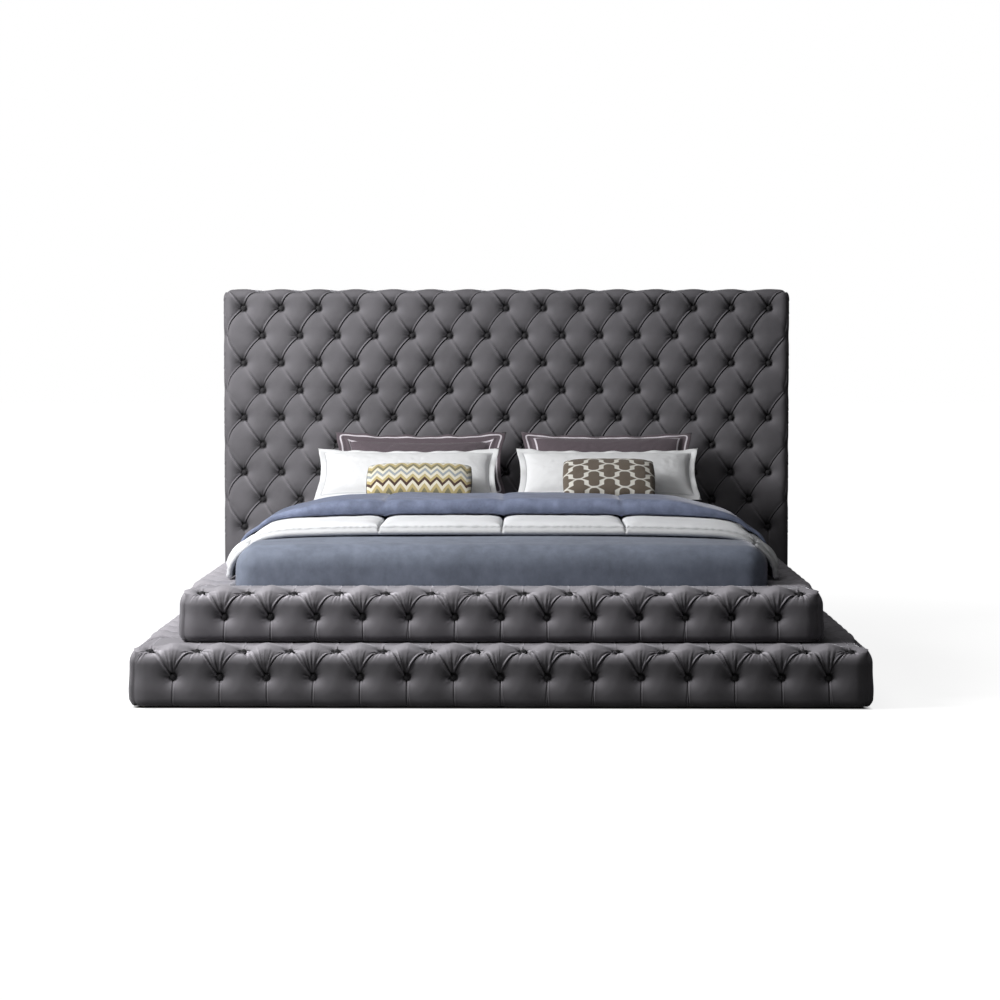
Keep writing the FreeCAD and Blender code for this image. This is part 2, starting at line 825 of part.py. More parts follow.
def soft_block(label, width, slope, thick, back, crest):
    """One rounded block that leans back; back and crest are where the middle of its top edge is."""
    tilt = "(pillow_tilt * 1 deg)"
    corner = (
        f"{label}_middle - {width} / 2",
        f"{back} - sin({tilt}) * {slope} - cos({tilt}) * {thick} / 2",
        f"{crest} - cos({tilt}) * {slope} + sin({tilt}) * {thick} / 2",
    )
    block = box(label + "_block", corner, (width, thick, slope), about_x(-sheet.pillow_tilt))
    keep(rounded(label + "_soft", block, sheet.getPropertyByName(thick) * PILLOW_ROUND), label)


def pillows():
    """Two shams, two sleeping pillows and two lumbar pillows, each clear of the one behind it."""
    for side in ("left", "right"):
        for kind in ("sham", "pillow"):
            sizes = [f"{kind}_{word}" for word in ("width", "slope", "thick", "back", "crest")]
            soft_block(f"{kind}_{side}", *sizes)
        lumbar = f"lumbar_{side}"
        sizes = (f"{lumbar}_width", f"{lumbar}_slope", "lumbar_thick", "lumbar_back", f"{lumbar}_crest")
        soft_block(lumbar, *sizes)


# ---------------------------------------------------------------- build, check and write


def check_document():
    doc.recompute()
    for obj in doc.Objects:
        if {"Invalid", "Error"} & set(obj.State):
            raise RuntimeError(f"{obj.Label} failed: {obj.State}")
    for obj in sub_parts:
        if obj.Shape.isNull() or not obj.Shape.isValid():
            raise RuntimeError(f"{obj.Label} has no valid shape")


def write_parts():
    os.makedirs("parts", exist_ok=True)
    for obj in sub_parts:
        obj.Shape.exportStep(f"parts/{obj.Label}.step")
        print(f"{obj.Label}: {len(obj.Shape.Solids)} solid(s), {obj.Shape.Volume / 1e6:.2f} litres")


base_pieces()
headboard_cover()
headboard_inside()
deck()
corner_hardware()
glides()
mattress()
bedding()
pillows()
check_document()
write_parts()
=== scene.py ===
"""Looks of the upholstered headboard bed: deep tufted velvet covers, bedding and pillows on the CAD frame.

Soft covers are built as dense closed skins. Each skin starts as the flat faces of its pad, unfolded to
(s, t): s runs along the piece and t runs up its face and on over its top. A height field in (s, t) holds
the dimples, pleats and gathers, and the skin is rounded and pushed out or in by it.
"""

import json
import math

import bmesh
import bpy
import numpy as np
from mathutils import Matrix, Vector


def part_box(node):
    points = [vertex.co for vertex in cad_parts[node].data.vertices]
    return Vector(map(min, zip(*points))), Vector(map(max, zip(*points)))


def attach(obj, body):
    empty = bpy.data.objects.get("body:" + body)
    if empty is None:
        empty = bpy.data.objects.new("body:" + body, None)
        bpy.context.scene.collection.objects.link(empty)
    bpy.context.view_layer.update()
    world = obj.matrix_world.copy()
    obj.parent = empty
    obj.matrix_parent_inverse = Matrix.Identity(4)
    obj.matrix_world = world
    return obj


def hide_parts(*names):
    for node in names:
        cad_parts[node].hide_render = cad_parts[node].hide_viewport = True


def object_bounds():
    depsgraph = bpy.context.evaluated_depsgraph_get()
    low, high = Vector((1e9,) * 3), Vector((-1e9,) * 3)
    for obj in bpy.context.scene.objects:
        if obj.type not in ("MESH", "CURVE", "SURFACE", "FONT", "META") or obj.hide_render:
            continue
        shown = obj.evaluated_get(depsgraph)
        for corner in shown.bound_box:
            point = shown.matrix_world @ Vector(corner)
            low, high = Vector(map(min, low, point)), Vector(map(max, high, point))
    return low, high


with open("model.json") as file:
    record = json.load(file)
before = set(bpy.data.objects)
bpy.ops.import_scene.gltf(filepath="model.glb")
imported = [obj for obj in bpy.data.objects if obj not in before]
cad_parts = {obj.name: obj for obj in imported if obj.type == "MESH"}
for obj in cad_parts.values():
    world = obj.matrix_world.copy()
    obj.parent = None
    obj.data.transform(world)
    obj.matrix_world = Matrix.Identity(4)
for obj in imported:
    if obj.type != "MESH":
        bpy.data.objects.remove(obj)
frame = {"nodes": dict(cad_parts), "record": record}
CAD_BOX = [list(corner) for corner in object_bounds()]

# ---------------------------------------------------------------- tufting, in metres

PITCH = 0.166  # between buttons of a row
HALF = PITCH / 2
ROW = 0.121  # between button rows of the headboard
TOP_ROW = 1.460  # height of the headboard's top button row
HEAD_ROWS = 9
LOWEST_ROW = TOP_ROW - (HEAD_ROWS - 1) * ROW
GLIDE = 0.008  # height of the headboard cover's bottom above the floor
SETBACK = 0.045  # from a tier's face to the dimples on its top
CORNER = 0.158  # from a tier's corner to the first button
BUTTON_RADIUS = 0.011
SEAT_DEPTH = 0.0205  # how deep a button pulls the cover in
SEAT_REACH = 0.019
LOWER_BUTTON_Z = 0.111
UPPER_BUTTON_Z = 0.309
PAD = 0.030  # padding of the tiers
LINING = 0.010  # cloth on the back of the upper tier
HEAD_PAD = 0.045  # padding of the headboard
HEAD_BORDER = 0.025  # padding of its top and sides
ROLL = 0.065  # radius of a tier's padded front edge
HEAD_ROLL = 0.040

# Patches of painted light round a button, painted shade to its upper left and a painted highlight to its
# lower right: sideways, up, width and amount, below 0 darker.
HEAD_PAINTED_LIGHT = ((-0.024, 0.007, 0.026, -0.62), (-0.008, 0.020, 0.018, -0.25), (0.026, -0.016, 0.026, 0.22))
FACE_PAINTED_LIGHT = ((-0.022, 0.012, 0.026, -0.50), (-0.006, 0.034, 0.026, -0.22), (0.026, -0.014, 0.026, 0.20))

# Fans of short gathers round a button: from and to in degrees, count, reach and depth.
HEAD_FANS = (
    (80, 125, 5, 0.062, 0.0013),
    (128, 215, 6, 0.055, 0.0013),
    (225, 330, 4, 0.042, 0.0008),
    (-20, 60, 3, 0.035, 0.0006),
)
FACE_FANS = ((130, 205, 6, 0.050, 0.0018), (-30, 50, 4, 0.045, 0.0008), (215, 325, 4, 0.035, 0.0007))
CROWN_FANS = ((20, 160, 7, 0.055, 0.0018),)
END_FANS = ((60, 130, 8, 0.07, 0.0022), (130, 400, 8, 0.045, 0.0012))

# Creases as Field.stroke takes them: depth, width, lip, bend, rise, fade and end_level.
SHORT_FOLD = (0.0030, 0.0018, 0.0018, 0.001, 0.1, 0.3)
HEAD_STEM = (0.0022, 0.0022, 0.0008, 0.0, 0.02, 0.9)  # from a lowest button to the headboard's bottom
HEAD_SECOND_STEM = (0.0012, 0.0018, 0.0, 0.0, 0.02, 0.6)
HEAD_SIDE_CREASE = (0.002, 0.003, 0.001, 0.0, 0.1, 0.4)
STEM = (0.0034, 0.0018, 0.0010, 0.0, 0.05, 0.95, 0.9)  # under a button on a tier's face
SECOND_STEM = (0.0022, 0.0018, 0.0010, 0.0, 0.1, 0.9, 0.7)
TOP_SEAM = (0.0018, 0.0024, 0.0008, 0.0, 0.0, 0.9)  # back over a tier's top
END_PLEAT = (0.004, 0.0028, 0.002, 0.006, 0.1, 0.9, 0.6)
END_STEM = (0.0026, 0.0020, 0.0010, 0.0, 0.05, 0.95, 0.8)
BOTTOM = -0.01  # a crease that ends here runs off the lower edge
BEYOND = 9.0  # and one that ends here never fades out on the top


# ---------------------------------------------------------------- mesh helpers


def mesh_from(name, points, faces, smooth=True):
    """A new object in the scene with a mesh of its own."""
    mesh = bpy.data.meshes.new(name)
    mesh.from_pydata([tuple(p) for p in points], [], faces)
    mesh.validate()
    mesh.update()
    mesh.polygons.foreach_set("use_smooth", [smooth] * len(mesh.polygons))
    obj = bpy.data.objects.new(name, mesh)
    bpy.context.scene.collection.objects.link(obj)
    return obj


def close_normals(obj):
    """Turns every face outward."""
    work = bmesh.new()
    work.from_mesh(obj.data)
    bmesh.ops.recalc_face_normals(work, faces=work.faces)
    work.to_mesh(obj.data)
    work.free()


def store(obj, name, values):
    """Keeps one number per vertex for the materials to read."""
    attribute = obj.data.attributes.new(name, "FLOAT", "POINT")
    attribute.data.foreach_set("value", np.asarray(values, np.float32))


def finish_piece(obj, body, node):
    """Ties a piece to its body and hides the CAD node it stands in for."""
    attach(obj, body)
    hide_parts(node)
    return obj


def smoothstep(low, high, x):
    """0 below low, 1 above high and a soft step between."""
    w = np.clip((x - low) / (high - low), 0, 1)
    return w * w * (3 - 2 * w)


def bell(gap, width):
    """1 where the gap is 0, fading over the width."""
    return np.exp(-((gap / width) ** 2))


def grid_quads(rows, cols, closed=False, skip=None):
    """Corner indices of a grid's quads. closed joins the last row to the first; skip leaves out one strip."""
    index = np.arange(rows * cols).reshape(rows, cols)
    after = np.roll(index, -1, axis=0) if closed else index[1:]
    here = index if closed else index[:-1]
    quads = np.stack([here[:, :-1], here[:, 1:], after[:, 1:], after[:, :-1]], axis=-1)
    if skip is not None:
        quads = np.delete(quads, skip, axis=0)
    return quads.reshape(-1, 4)


def rim_of(rows, cols):
    """Indices round the edge of a grid, in order."""
    index = np.arange(rows * cols).reshape(rows, cols)
    return np.concatenate([index[0], index[1:, -1], index[-1, -2::-1], index[-2:0:-1, 0]])


def strip(one, two):
    """The quads between two closed rings of points."""
    return np.stack([one, np.roll(one, -1), np.roll(two, -1), two], axis=-1)


def weld(points, values, quads):
    """Joins points that coincide, averaging each row of values, and drops the faces that collapse."""
    keys = np.round(points * 1e5).astype(np.int64)
    _, first, inverse = np.unique(keys, axis=0, return_index=True, return_inverse=True)
    inverse = inverse.reshape(-1)
    count = np.bincount(inverse)
    merged = [np.bincount(inverse, weights=row) / count for row in values]
    faces = inverse[quads]
    same_next = faces == np.roll(faces, -1, axis=1)
    repeats = same_next.sum(axis=1)
    whole = faces[repeats == 0]
    thin = faces[repeats == 1]
    keep = ~same_next[repeats == 1]
    triangles = thin[keep].reshape(-1, 3)
    distinct = (triangles != np.roll(triangles, -1, axis=1)).all(axis=1)
    crossed = (whole[:, 0] == whole[:, 2]) | (whole[:, 1] == whole[:, 3])
    return points[first], merged, whole[~crossed], triangles[distinct]


# ---------------------------------------------------------------- height fields


class Field:
    """Heights over unfolded positions: s and t are rows by columns, and t is the same along a row."""

    def __init__(self, s, t):
        self.s = s
        self.t = np.repeat(t[:, None], s.shape[1], axis=1)
        self.rows = t
        self.h = np.zeros(s.shape)
        self.light = np.zeros(s.shape)  # painted light: from -1, shade painted into a crease, to 1, a highlight painted on a lip

    def window(self, s0, s1, t0, t1):
        low, high = np.searchsorted(self.rows, [t0, t1])
        if high - low < 1:
            return None
        part = self.s[low:high]
        hit = np.nonzero((part.max(axis=0) > s0) & (part.min(axis=0) < s1))[0]
        if not len(hit):
            return None
        return slice(low, high), slice(hit[0], hit[-1] + 1)

    def near(self, s, t, wide):
        """The cut within wide of a spot and its distances from the spot, or None."""
        cut = self.window(s - wide, s + wide, t - wide, t + wide)
        return cut and (cut, np.hypot(self.s[cut] - s, self.t[cut] - t))

    def dimple(self, s, t, depth=SEAT_DEPTH, reach=SEAT_REACH, flat=BUTTON_RADIUS):
        """A hollow with a flat floor, as a button pulls it."""
        wide = flat + 4 * reach
        found = self.near(s, t, wide)
        if found:
            cut, r = found
            fall = np.exp(-np.maximum(r - flat, 0) / reach) * (1 - smoothstep(0.7 * wide, wide, r))
            self.h[cut] -= depth * fall

    def brush(self, s, t, *patches):
        """Soft patches of painted light and painted shade round a spot."""
        for away, up, wide, amount in patches:
            found = self.near(s + away, t + up, 3 * wide)
            if found:
                cut, r = found
                self.light[cut] += amount * bell(r, wide)

    def stroke(self, start, end, depth, width, lip=0.0, bend=0.0, rise=0.08, fade=0.6, end_level=0.0):
        """A crease from start to end, with a lip on its left; it fades from fade on to end_level."""
        p = np.array(start)
        q = np.array(end)
        length = math.hypot(*(q - p))
        reach = 5 * width + abs(bend)
        low = np.minimum(p, q) - reach
        high = np.maximum(p, q) + reach
        cut = self.window(low[0], high[0], low[1], high[1])
        if cut is None or length < 1e-6:
            return
        along = (q - p) / length
        ds = self.s[cut] - p[0]
        dt = self.t[cut] - p[1]
        w = (ds * along[0] + dt * along[1]) / length
        e = -ds * along[1] + dt * along[0] - bend * 4 * w * (1 - w)
        level = smoothstep(-0.02, rise, w) * (1 - (1 - end_level) * smoothstep(fade, 1.0, w))
        level = level * (1 - smoothstep(1.0, 1.0 + 2 * width / length, w)) * (w > -0.02)
        crease = bell(e, width)
        ridge = bell(e - 2.1 * width, 1.5 * width)
        self.h[cut] += level * (lip * ridge - depth * crease)
        # painted shade in the crease and a painted highlight on its lip
        self.light[cut] += level * (min(1.0, lip / 0.0025) * ridge - min(1.0, depth / 0.0045) * crease)

    def gather(self, s, t, rng, fans):
        """Fans of short radial gathers round a button."""
        for low, high, count, reach, strength in fans:
            for _ in range(count):
                angle = math.radians(rng.uniform(low, high))
                near = BUTTON_RADIUS * rng.uniform(1.1, 1.8)
                far = reach * rng.uniform(0.45, 1.0)
                start = (s + near * math.cos(angle), t + near * math.sin(angle))
                end = (s + far * math.cos(angle), t + far * math.sin(angle))
                depth = strength * rng.uniform(0.5, 1.3)
                width = rng.uniform(0.0014, 0.0024)
                self.stroke(start, end, depth, width, 0.5 * depth, rng.uniform(-0.003, 0.003), 0.1, 0.3)

    def main_pleat(self, offset, level, lip, crease):
        """The crisp pleat that follows the columns: a lip on its upper left and a crease beside it."""
        ridge = bell(offset + 0.0052, 0.0036)
        groove = bell(offset - 0.0012, 0.0024)
        self.h += level * (lip * ridge - crease * groove - 0.0030 * bell(offset, 0.018))
        # painted highlight on the pleat's lip and painted shade in its groove
        self.light += level * (0.9 * ridge - 0.7 * groove)


def spread(half, count, power):
    """Steps from 0 to half, closest together near 0."""
    return half * (np.arange(count + 1) / count) ** power


def line_columns(low, high, origin, count=30):
    """Column positions covering low to high, dense beside the pleat lines at origin + n * PITCH."""
    near = spread(HALF, count, 1.2)
    one = np.concatenate([-near[1:][::-1], near[:-1]])
    first = math.floor((low - origin) / PITCH) - 1
    last = math.ceil((high - origin) / PITCH) + 1
    return np.concatenate([origin + n * PITCH + one for n in range(first, last + 1)])


def lean(w):
    """Sideways share of a pleat at the share w of its rise: it starts upright and bends over."""
    w = np.clip(w, 0, 1)
    return 0.35 * w + 0.65 * w * w


def wrapped(offset):
    """The offset from the nearest pleat line."""
    return (offset + HALF) % PITCH - HALF


# ---------------------------------------------------------------- padded boxes


class Pad:
    """One upholstered box: a runs along it, d in from its face and u up from its bottom.

    The box is low to high long, depth deep and rise high. Its cover is pad thick on the face, top thick
    above and, if its ends are exposed, cap thick there; a lining closes its back. place turns (a, d, u)
    into positions in the bed.
    """

    def __init__(self, low, high, depth, rise, pad, top, cap, lining, exposed, radius, place):
        self.low = low
        self.high = high
        self.depth = depth
        self.rise = rise
        self.pad = pad
        self.lining = lining
        self.exposed = exposed
        self.radius = radius
        self.place = place
        self.inner_ends = (low + cap, high - cap)
        self.inner_top = rise - top
        self.inner_back = depth - lining

    def inside(self):
        """(d, u) of the corners of the section's inner side, from the back to the face."""
        corners = [(self.depth, 0.0), (self.inner_back, 0.0)] if self.lining else []
        return corners + [(self.inner_back, self.inner_top), (self.pad, self.inner_top), (self.pad, 0.0)]


def facing_foot(low):
    """Places a pad whose face looks to the foot end and whose low corner is given."""
    return lambda p: np.stack([p[:, 0], low.y + p[:, 1], low.z + p[:, 2]], axis=1)


def rounded(points, heights, outer, pad):
    """Rounds the box's padded edges and moves its outer points along their directions by the heights."""
    a, d, u = points.T
    radius = pad.radius
    qa = np.clip(a, pad.low + radius, pad.high - radius) if pad.exposed else a
    q = np.stack([qa, np.maximum(d, radius), np.minimum(u, pad.rise - radius)], axis=1)
    out = points - q
    length = np.linalg.norm(out, axis=1)
    moved = outer & (length > 1e-7)
    direction = out / np.maximum(length, 1e-9)[:, None]
    return np.where(moved[:, None], q + direction * (radius + heights)[:, None], points)


def part_of(a, d, u, height, light, outer, quads):
    """One grid of a cover as (points, heights, painted light, which are outer, quads)."""
    flat = [np.broadcast_to(values, a.shape).reshape(-1) for values in (a, d, u, height, light, outer)]
    return np.stack(flat[:3], axis=-1), *flat[3:], quads


def wrap_part(pad, face_rows, top_rows, columns, shear, shape):
    """The grid that runs up the face, over the top and back inside, over the whole length."""
    rows = [(0.0, u) for u in face_rows] + [(d, pad.rise) for d in top_rows[1:]]
    count = len(rows)
    rows += pad.inside()
    t = np.concatenate([face_rows, pad.rise + top_rows[1:]])
    shift = shear(t)
    shift = np.concatenate([shift, np.full(len(rows) - count, shift[-1])])
    outer = np.arange(len(rows)) < count
    at_end = outer.copy()
    at_end[count] |= pad.lining > 0
    low = np.where(at_end, pad.low, pad.inner_ends[0])
    high = np.where(at_end, pad.high, pad.inner_ends[1])
    a = np.clip(columns[None, :] + shift[:, None], low[:, None], high[:, None])
    field = Field(a[:count], t)
    shape(field)
    blank = np.zeros((len(rows) - count, a.shape[1]))
    d, u = np.array(rows).T[:, :, None]
    quads = grid_quads(*a.shape, True, count - 1 if pad.exposed and pad.lining else None)
    height = np.vstack([field.h, blank])
    light = np.vstack([field.light, blank])
    return part_of(a, d, u, height, light, outer[:, None], quads)


def end_part(edge, face_rows, top_rows, shape):
    """The grid over one exposed end."""
    d, u = np.meshgrid(top_rows, face_rows)
    field = Field(d, face_rows)
    shape(field)
    return part_of(np.full(d.shape, edge), d, u, field.h, field.light, True, grid_quads(*d.shape))


def padded_skin(name, pad, face_rows, top_rows, columns, shear, shape_main, shape_end=None):
    """The closed cover of one padded box, as an object, with its heights and its painted light and shade kept
    per vertex.
    """
    parts = [wrap_part(pad, face_rows, top_rows, columns, shear, shape_main)]
    if pad.exposed:
        parts += [end_part(edge, face_rows, top_rows, shape_end) for edge in (pad.low, pad.high)]
    starts = np.cumsum([0] + [len(part[0]) for part in parts])
    quads = np.concatenate([part[4] + start for part, start in zip(parts, starts)])
    points, *values = [np.concatenate([part[k] for part in parts]) for k in range(4)]
    base, values, whole, triangles = weld(points, values, quads)
    base, polygons = closing_faces(pad, base)
    extra = np.zeros(len(base) - len(values[0]))
    height, light, outer = [np.concatenate([row, extra]) for row in values]
    places = pad.place(rounded(base, height, outer > 0, pad))
    obj = mesh_from(f"tufted_{name}", places, whole.tolist() + triangles.tolist() + polygons)
    close_normals(obj)
    store(obj, "tuft", height)
    # painted light and shade for the velvet: shade in creases and beside buttons, highlights on lips
    store(obj, "brushed", np.clip(light, -1, 1))
    return obj


def edge_points(base, mask, axis):
    """Indices of the masked points, sorted along an axis."""
    index = np.nonzero(mask)[0]
    return index[np.argsort(base[index, axis])].tolist()


def at(values, spot):
    """Which values are at the spot."""
    return np.isclose(values, spot, atol=2e-6)


def nearest(base, point):
    """Index of the point of base that is at a place, or None."""
    gap = np.abs(base - np.array(point)).max(axis=1)
    best = int(gap.argmin())
    return best if gap[best] < 1e-5 else None


def closing_faces(pad, base):
    """The flat faces that close a cover, and its points with the inner corners that they add."""
    if not pad.exposed:
        return base, [cut_end(pad, base, edge) for edge in (pad.low, pad.high)]
    for inner in pad.inner_ends:
        corner = (inner, pad.inner_back, 0.0)
        if nearest(base, corner) is None:
            base = np.vstack([base, corner])
    return base, end_walls(pad, base)


def cut_end(pad, base, edge):
    """The cut end of a cover that butts against its neighbour."""
    a, d, u = base.T
    here = at(a, edge)
    face = at(d, 0)
    ring = edge_points(base, here & face, 2) + edge_points(base, here & at(u, pad.rise) & ~face, 1)
    return ring + [nearest(base, (edge, *corner)) for corner in pad.inside()]


def end_walls(pad, base):
    """The inner end walls of a cover with exposed ends and the rims beside them, or its lining."""
    bottom = at(base[:, 2], 0)
    back = at(base[:, 1], pad.depth)
    polygons = []
    back_edges = []
    for edge, inner in zip((pad.low, pad.high), pad.inner_ends):
        here = at(base[:, 0], edge)
        corners = [(inner, d, u) for d in (pad.pad, pad.inner_back) for u in (0.0, pad.inner_top)]
        low_front, high_front, low_back, high_back = [nearest(base, corner) for corner in corners]
        polygons.append([low_front, high_front, high_back, low_back])
        polygons.append(edge_points(base, here & bottom, 1) + [low_back, low_front])
        back_edges.append(edge_points(base, here & back, 2))
        if not pad.lining:
            polygons.append(back_edges[-1] + [high_back, low_back])
    if pad.lining:
        top_row = edge_points(base, back & at(base[:, 2], pad.rise), 0)[1:-1]
        low_row = edge_points(base, back & bottom, 0)[1:-1]
        polygons.append(back_edges[0] + top_row + back_edges[1][::-1] + low_row[::-1])
    return polygons


# ---------------------------------------------------------------- tufted pieces of the bed


def head_rise(t):
    """Height t of the headboard as a number of button rows above the lowest."""
    return np.clip((t - LOWEST_ROW) / ROW, 0, HEAD_ROWS)


def head_lean(t):
    """How far the pleat columns have moved sideways at the height t of the headboard, in metres."""
    rise = head_rise(t)
    band = np.floor(rise)
    return HALF * (band + lean(rise - band))


def headboard_seats():
    """Where the headboard's buttons are, across and above the floor."""
    for k in range(HEAD_ROWS):
        count = 14 if k % 2 else 15
        for i in range(count):
            yield (i - (count - 1) / 2) * PITCH, TOP_ROW - k * ROW


def head_pleats(field):
    """The crisp pleats that join the headboard's buttons and the soft rise of each diamond."""
    t = field.t + GLIDE
    line = wrapped(field.s - head_lean(t))
    other = wrapped(field.s + head_lean(t))
    inside = smoothstep(LOWEST_ROW - ROW, LOWEST_ROW, t)
    one = np.abs(np.sin(np.pi * line / PITCH))
    two = np.abs(np.sin(np.pi * other / PITCH))
    field.h += 0.006 * (np.sqrt(one * two) - 1) * inside
    band = np.floor(head_rise(t))
    w = head_rise(t) - band
    cell = np.floor((field.s - head_lean(t)) / PITCH + 0.5) * 31 + band * 17
    change = 0.8 + 0.35 * np.sin(cell * 12.9898)
    level = (0.55 + 0.6 * w) * smoothstep(0.02, 0.2, w) * (1 - smoothstep(0.9, 1.0, w))
    over = 1 - smoothstep(1.56, 1.60, t)
    field.main_pleat(line, level * change * inside * over, 0.0034, 0.0044)


def head_button(field, s, t, rng, lowest):
    """A button's hollow on the headboard, the fold to its upper left and the gathers round it."""
    seat = (s, t)
    field.dimple(s, t)
    # painted shade to the button's upper left and painted light to its lower right
    field.brush(s, t, *HEAD_PAINTED_LIGHT)
    strength = rng.uniform(0.7, 1.3)
    far = rng.choice((0.0, 0.0, 0.35, 0.8))
    end = (s - HALF, t + ROW)
    field.stroke(seat, end, 0.0058 * strength, 0.0028, 0.0036 * strength, 0.002, 0.08, 0.35, far)
    if rng.random() < 0.45:
        field.stroke((s - 0.010, t + 0.004), (s - 0.060, t + 0.066), *SHORT_FOLD)
    field.gather(s, t, rng, HEAD_FANS)
    if lowest:
        below = s + rng.uniform(-0.004, 0.004)
        field.stroke(seat, (below, 0.0), *HEAD_STEM)
        field.stroke((s - 0.006, t), (below - 0.008, 0.02), *HEAD_SECOND_STEM)


def shape_headboard(field):
    """Diamond tufting over the face, notched where it turns over the top."""
    rng = np.random.default_rng(11)
    head_pleats(field)
    for s, z in headboard_seats():
        head_button(field, s, z - GLIDE, rng, z < LOWEST_ROW + ROW / 2)
    for i in range(14):
        field.dimple((i - 6.5) * PITCH, TOP_ROW + ROW - GLIDE, 0.020, 0.016, 0.004)


def shape_head_end(field):
    """The headboard's side face, notched in line with the odd rows."""
    for k in range(HEAD_ROWS):
        z = TOP_ROW - k * ROW - GLIDE
        if k % 2:
            field.dimple(0.004, z, 0.014, 0.014, 0.003)
        else:
            for rise in (0.05, -0.05):
                field.stroke((-0.01, z + rise), (0.10, z), *HEAD_SIDE_CREASE)


def headboard_cover():
    """The tufted cover of the headboard, its rows of points dense beside each row of buttons."""
    low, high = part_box("headboard_cover")
    depth = high.y - low.y
    rise = high.z - low.z
    place = facing_foot(low)
    pad = Pad(low.x, high.x, depth, rise, HEAD_PAD, HEAD_BORDER, HEAD_BORDER, 0.0, True, HEAD_ROLL, place)
    lowest = LOWEST_ROW - low.z
    near = spread(ROW / 2, 13, 1.25)
    band = np.concatenate([near[:-1], ROW - near[::-1]])
    below = np.linspace(0, lowest - ROW / 2, 16)
    up_to_first = lowest - near[::-1][:-1]
    bands = [lowest + k * ROW + band[:-1] for k in range(HEAD_ROWS - 1)]
    top = lowest + (HEAD_ROWS - 1) * ROW
    face_rows = np.concatenate([below[:-1], up_to_first, *bands, top + np.linspace(0, rise - top, 22)])
    columns = line_columns(low.x - HALF * HEAD_ROWS - 0.01, high.x, 0.0)
    top_rows = spread(depth, 21, 1.2)

    def shear(t):
        return head_lean(t + low.z)

    obj = padded_skin("headboard", pad, face_rows, top_rows, columns, shear, shape_headboard, shape_head_end)
    return finish_piece(obj, "base", "headboard_cover")


class Tier:
    """Heights of one tier of the base, measured up from its own bottom."""

    def __init__(self, name, button_z, lining):
        low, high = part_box(f"foot_{name}_cover")
        self.name = name
        self.lining = lining
        self.rise = high.z - low.z
        self.row = button_z - low.z
        self.crown = self.rise + SETBACK
        self.span = self.crown - self.row

    def lean(self, t):
        return HALF * lean((t - self.row) / (0.82 * self.span))

    def rows(self, depth):
        """Rows up the face and over the top, dense where the gathers are."""
        below = self.row - spread(self.row, 13, 1.2)[::-1]
        above = self.row + (self.rise - self.row) * np.linspace(0, 1, 27) ** 1.08
        fine = 0.095  # depth of the dense rows on top
        roll = np.linspace(0, fine, 22)
        rest = np.linspace(fine, depth, max(6, int((depth - fine) / 0.014)))
        return np.concatenate([below[:-1], above]), np.concatenate([roll, rest[1:]])

    def belly(self, t):
        """The full, rounded face: out below the buttons and tucked in at the floor edge."""
        return 0.004 * bell(t - 0.5 * self.row, 0.045) - 0.010 * (1 - smoothstep(0.0, 0.022, t)) ** 2

    def piece(self, name, pad, columns, shape, end=None):
        """A finished cover of this tier."""
        name = f"{name}_{self.name}"
        obj = padded_skin(name, pad, *self.rows(pad.depth), columns, self.lean, shape, end)
        return finish_piece(obj, "base", f"{name}_cover")


def tier_swell(field, tier, origin):
    """The fullness of a tier between its buttons and the roll along its front edge."""
    share = np.clip((field.t - tier.row) / tier.span, 0, 1)
    wave = np.cos(2 * np.pi * (field.s - origin) / PITCH)
    field.h += (0.0055 * (0.5 - 0.5 * wave) - 0.0045) * (1 - smoothstep(0.0, 0.75, share))
    field.h += tier.belly(field.t)
    roll = smoothstep(0.40, 0.85, share) * (1 - smoothstep(tier.crown, tier.crown + 0.07, field.t))
    field.h += roll * (0.016 * (0.5 + 0.5 * wave) - 0.007)
    field.h -= 0.006 * smoothstep(tier.crown + 0.02, tier.crown + 0.08, field.t)


def tier_pleats(field, tier, origin, seed):
    """The crisp pleats from the face buttons up to the dimples on top, none left of the first button."""
    share = np.clip((field.t - tier.row) / tier.span, 0, 1)
    moved = field.s - origin - tier.lean(field.t)
    change = 0.9 + 0.3 * np.sin(np.floor(moved / PITCH + 0.5) * 12.9898 + seed)
    level = smoothstep(0.05, 0.3, share) * (1 - smoothstep(0.74, 0.84, share)) * change
    level *= smoothstep(origin - 0.03, origin - 0.005, field.s)
    field.main_pleat(wrapped(moved), level, 0.0042, 0.0056)


def shape_tier(tier, faces, crowns, seed):
    """A height function for one tier piece, given its face buttons and the dimples on its top."""

    def shape(field):
        rng = np.random.default_rng(seed)
        tier_swell(field, tier, faces[0])
        tier_pleats(field, tier, faces[0], seed)
        for s in faces:
            face_button(field, tier, s, rng)
        for s in crowns:
            crown_dimple(field, tier, s, rng)

    return shape


def face_button(field, tier, s, rng):
    """The hollow of a button on a tier's face, its fan of gathers and the pleats under and beside it."""
    seat = (s, tier.row)
    field.dimple(*seat)
    # painted shade to the button's upper left and painted light to its lower right
    field.brush(*seat, *FACE_PAINTED_LIGHT)
    for _ in range(2):
        away = rng.uniform(-0.085, -0.050)
        end = (s + away, tier.row + tier.span * rng.uniform(0.80, 0.98))
        field.stroke(seat, end, rng.uniform(0.0032, 0.0050), 0.0024, 0.0030, 0.006, 0.08, 0.6, 0.25)
    for _ in range(12):
        away = rng.uniform(-0.060, 0.032)
        start = (s + 0.22 * away, tier.row + 0.016)
        end = (s + away, tier.row + tier.span * rng.uniform(0.45, 0.98))
        field.stroke(start, end, rng.uniform(0.0010, 0.0024), 0.0020, 0.0014, 0.001, 0.15, 0.5, 0.2)
    field.gather(*seat, rng, FACE_FANS)
    foot = s + rng.uniform(-0.004, 0.004)
    field.stroke(seat, (foot, BOTTOM), *STEM)
    if rng.random() < 0.6:
        side = foot + rng.choice([-1, 1]) * 0.009
        field.stroke((s, tier.row - 0.01), (side, BOTTOM), *SECOND_STEM)


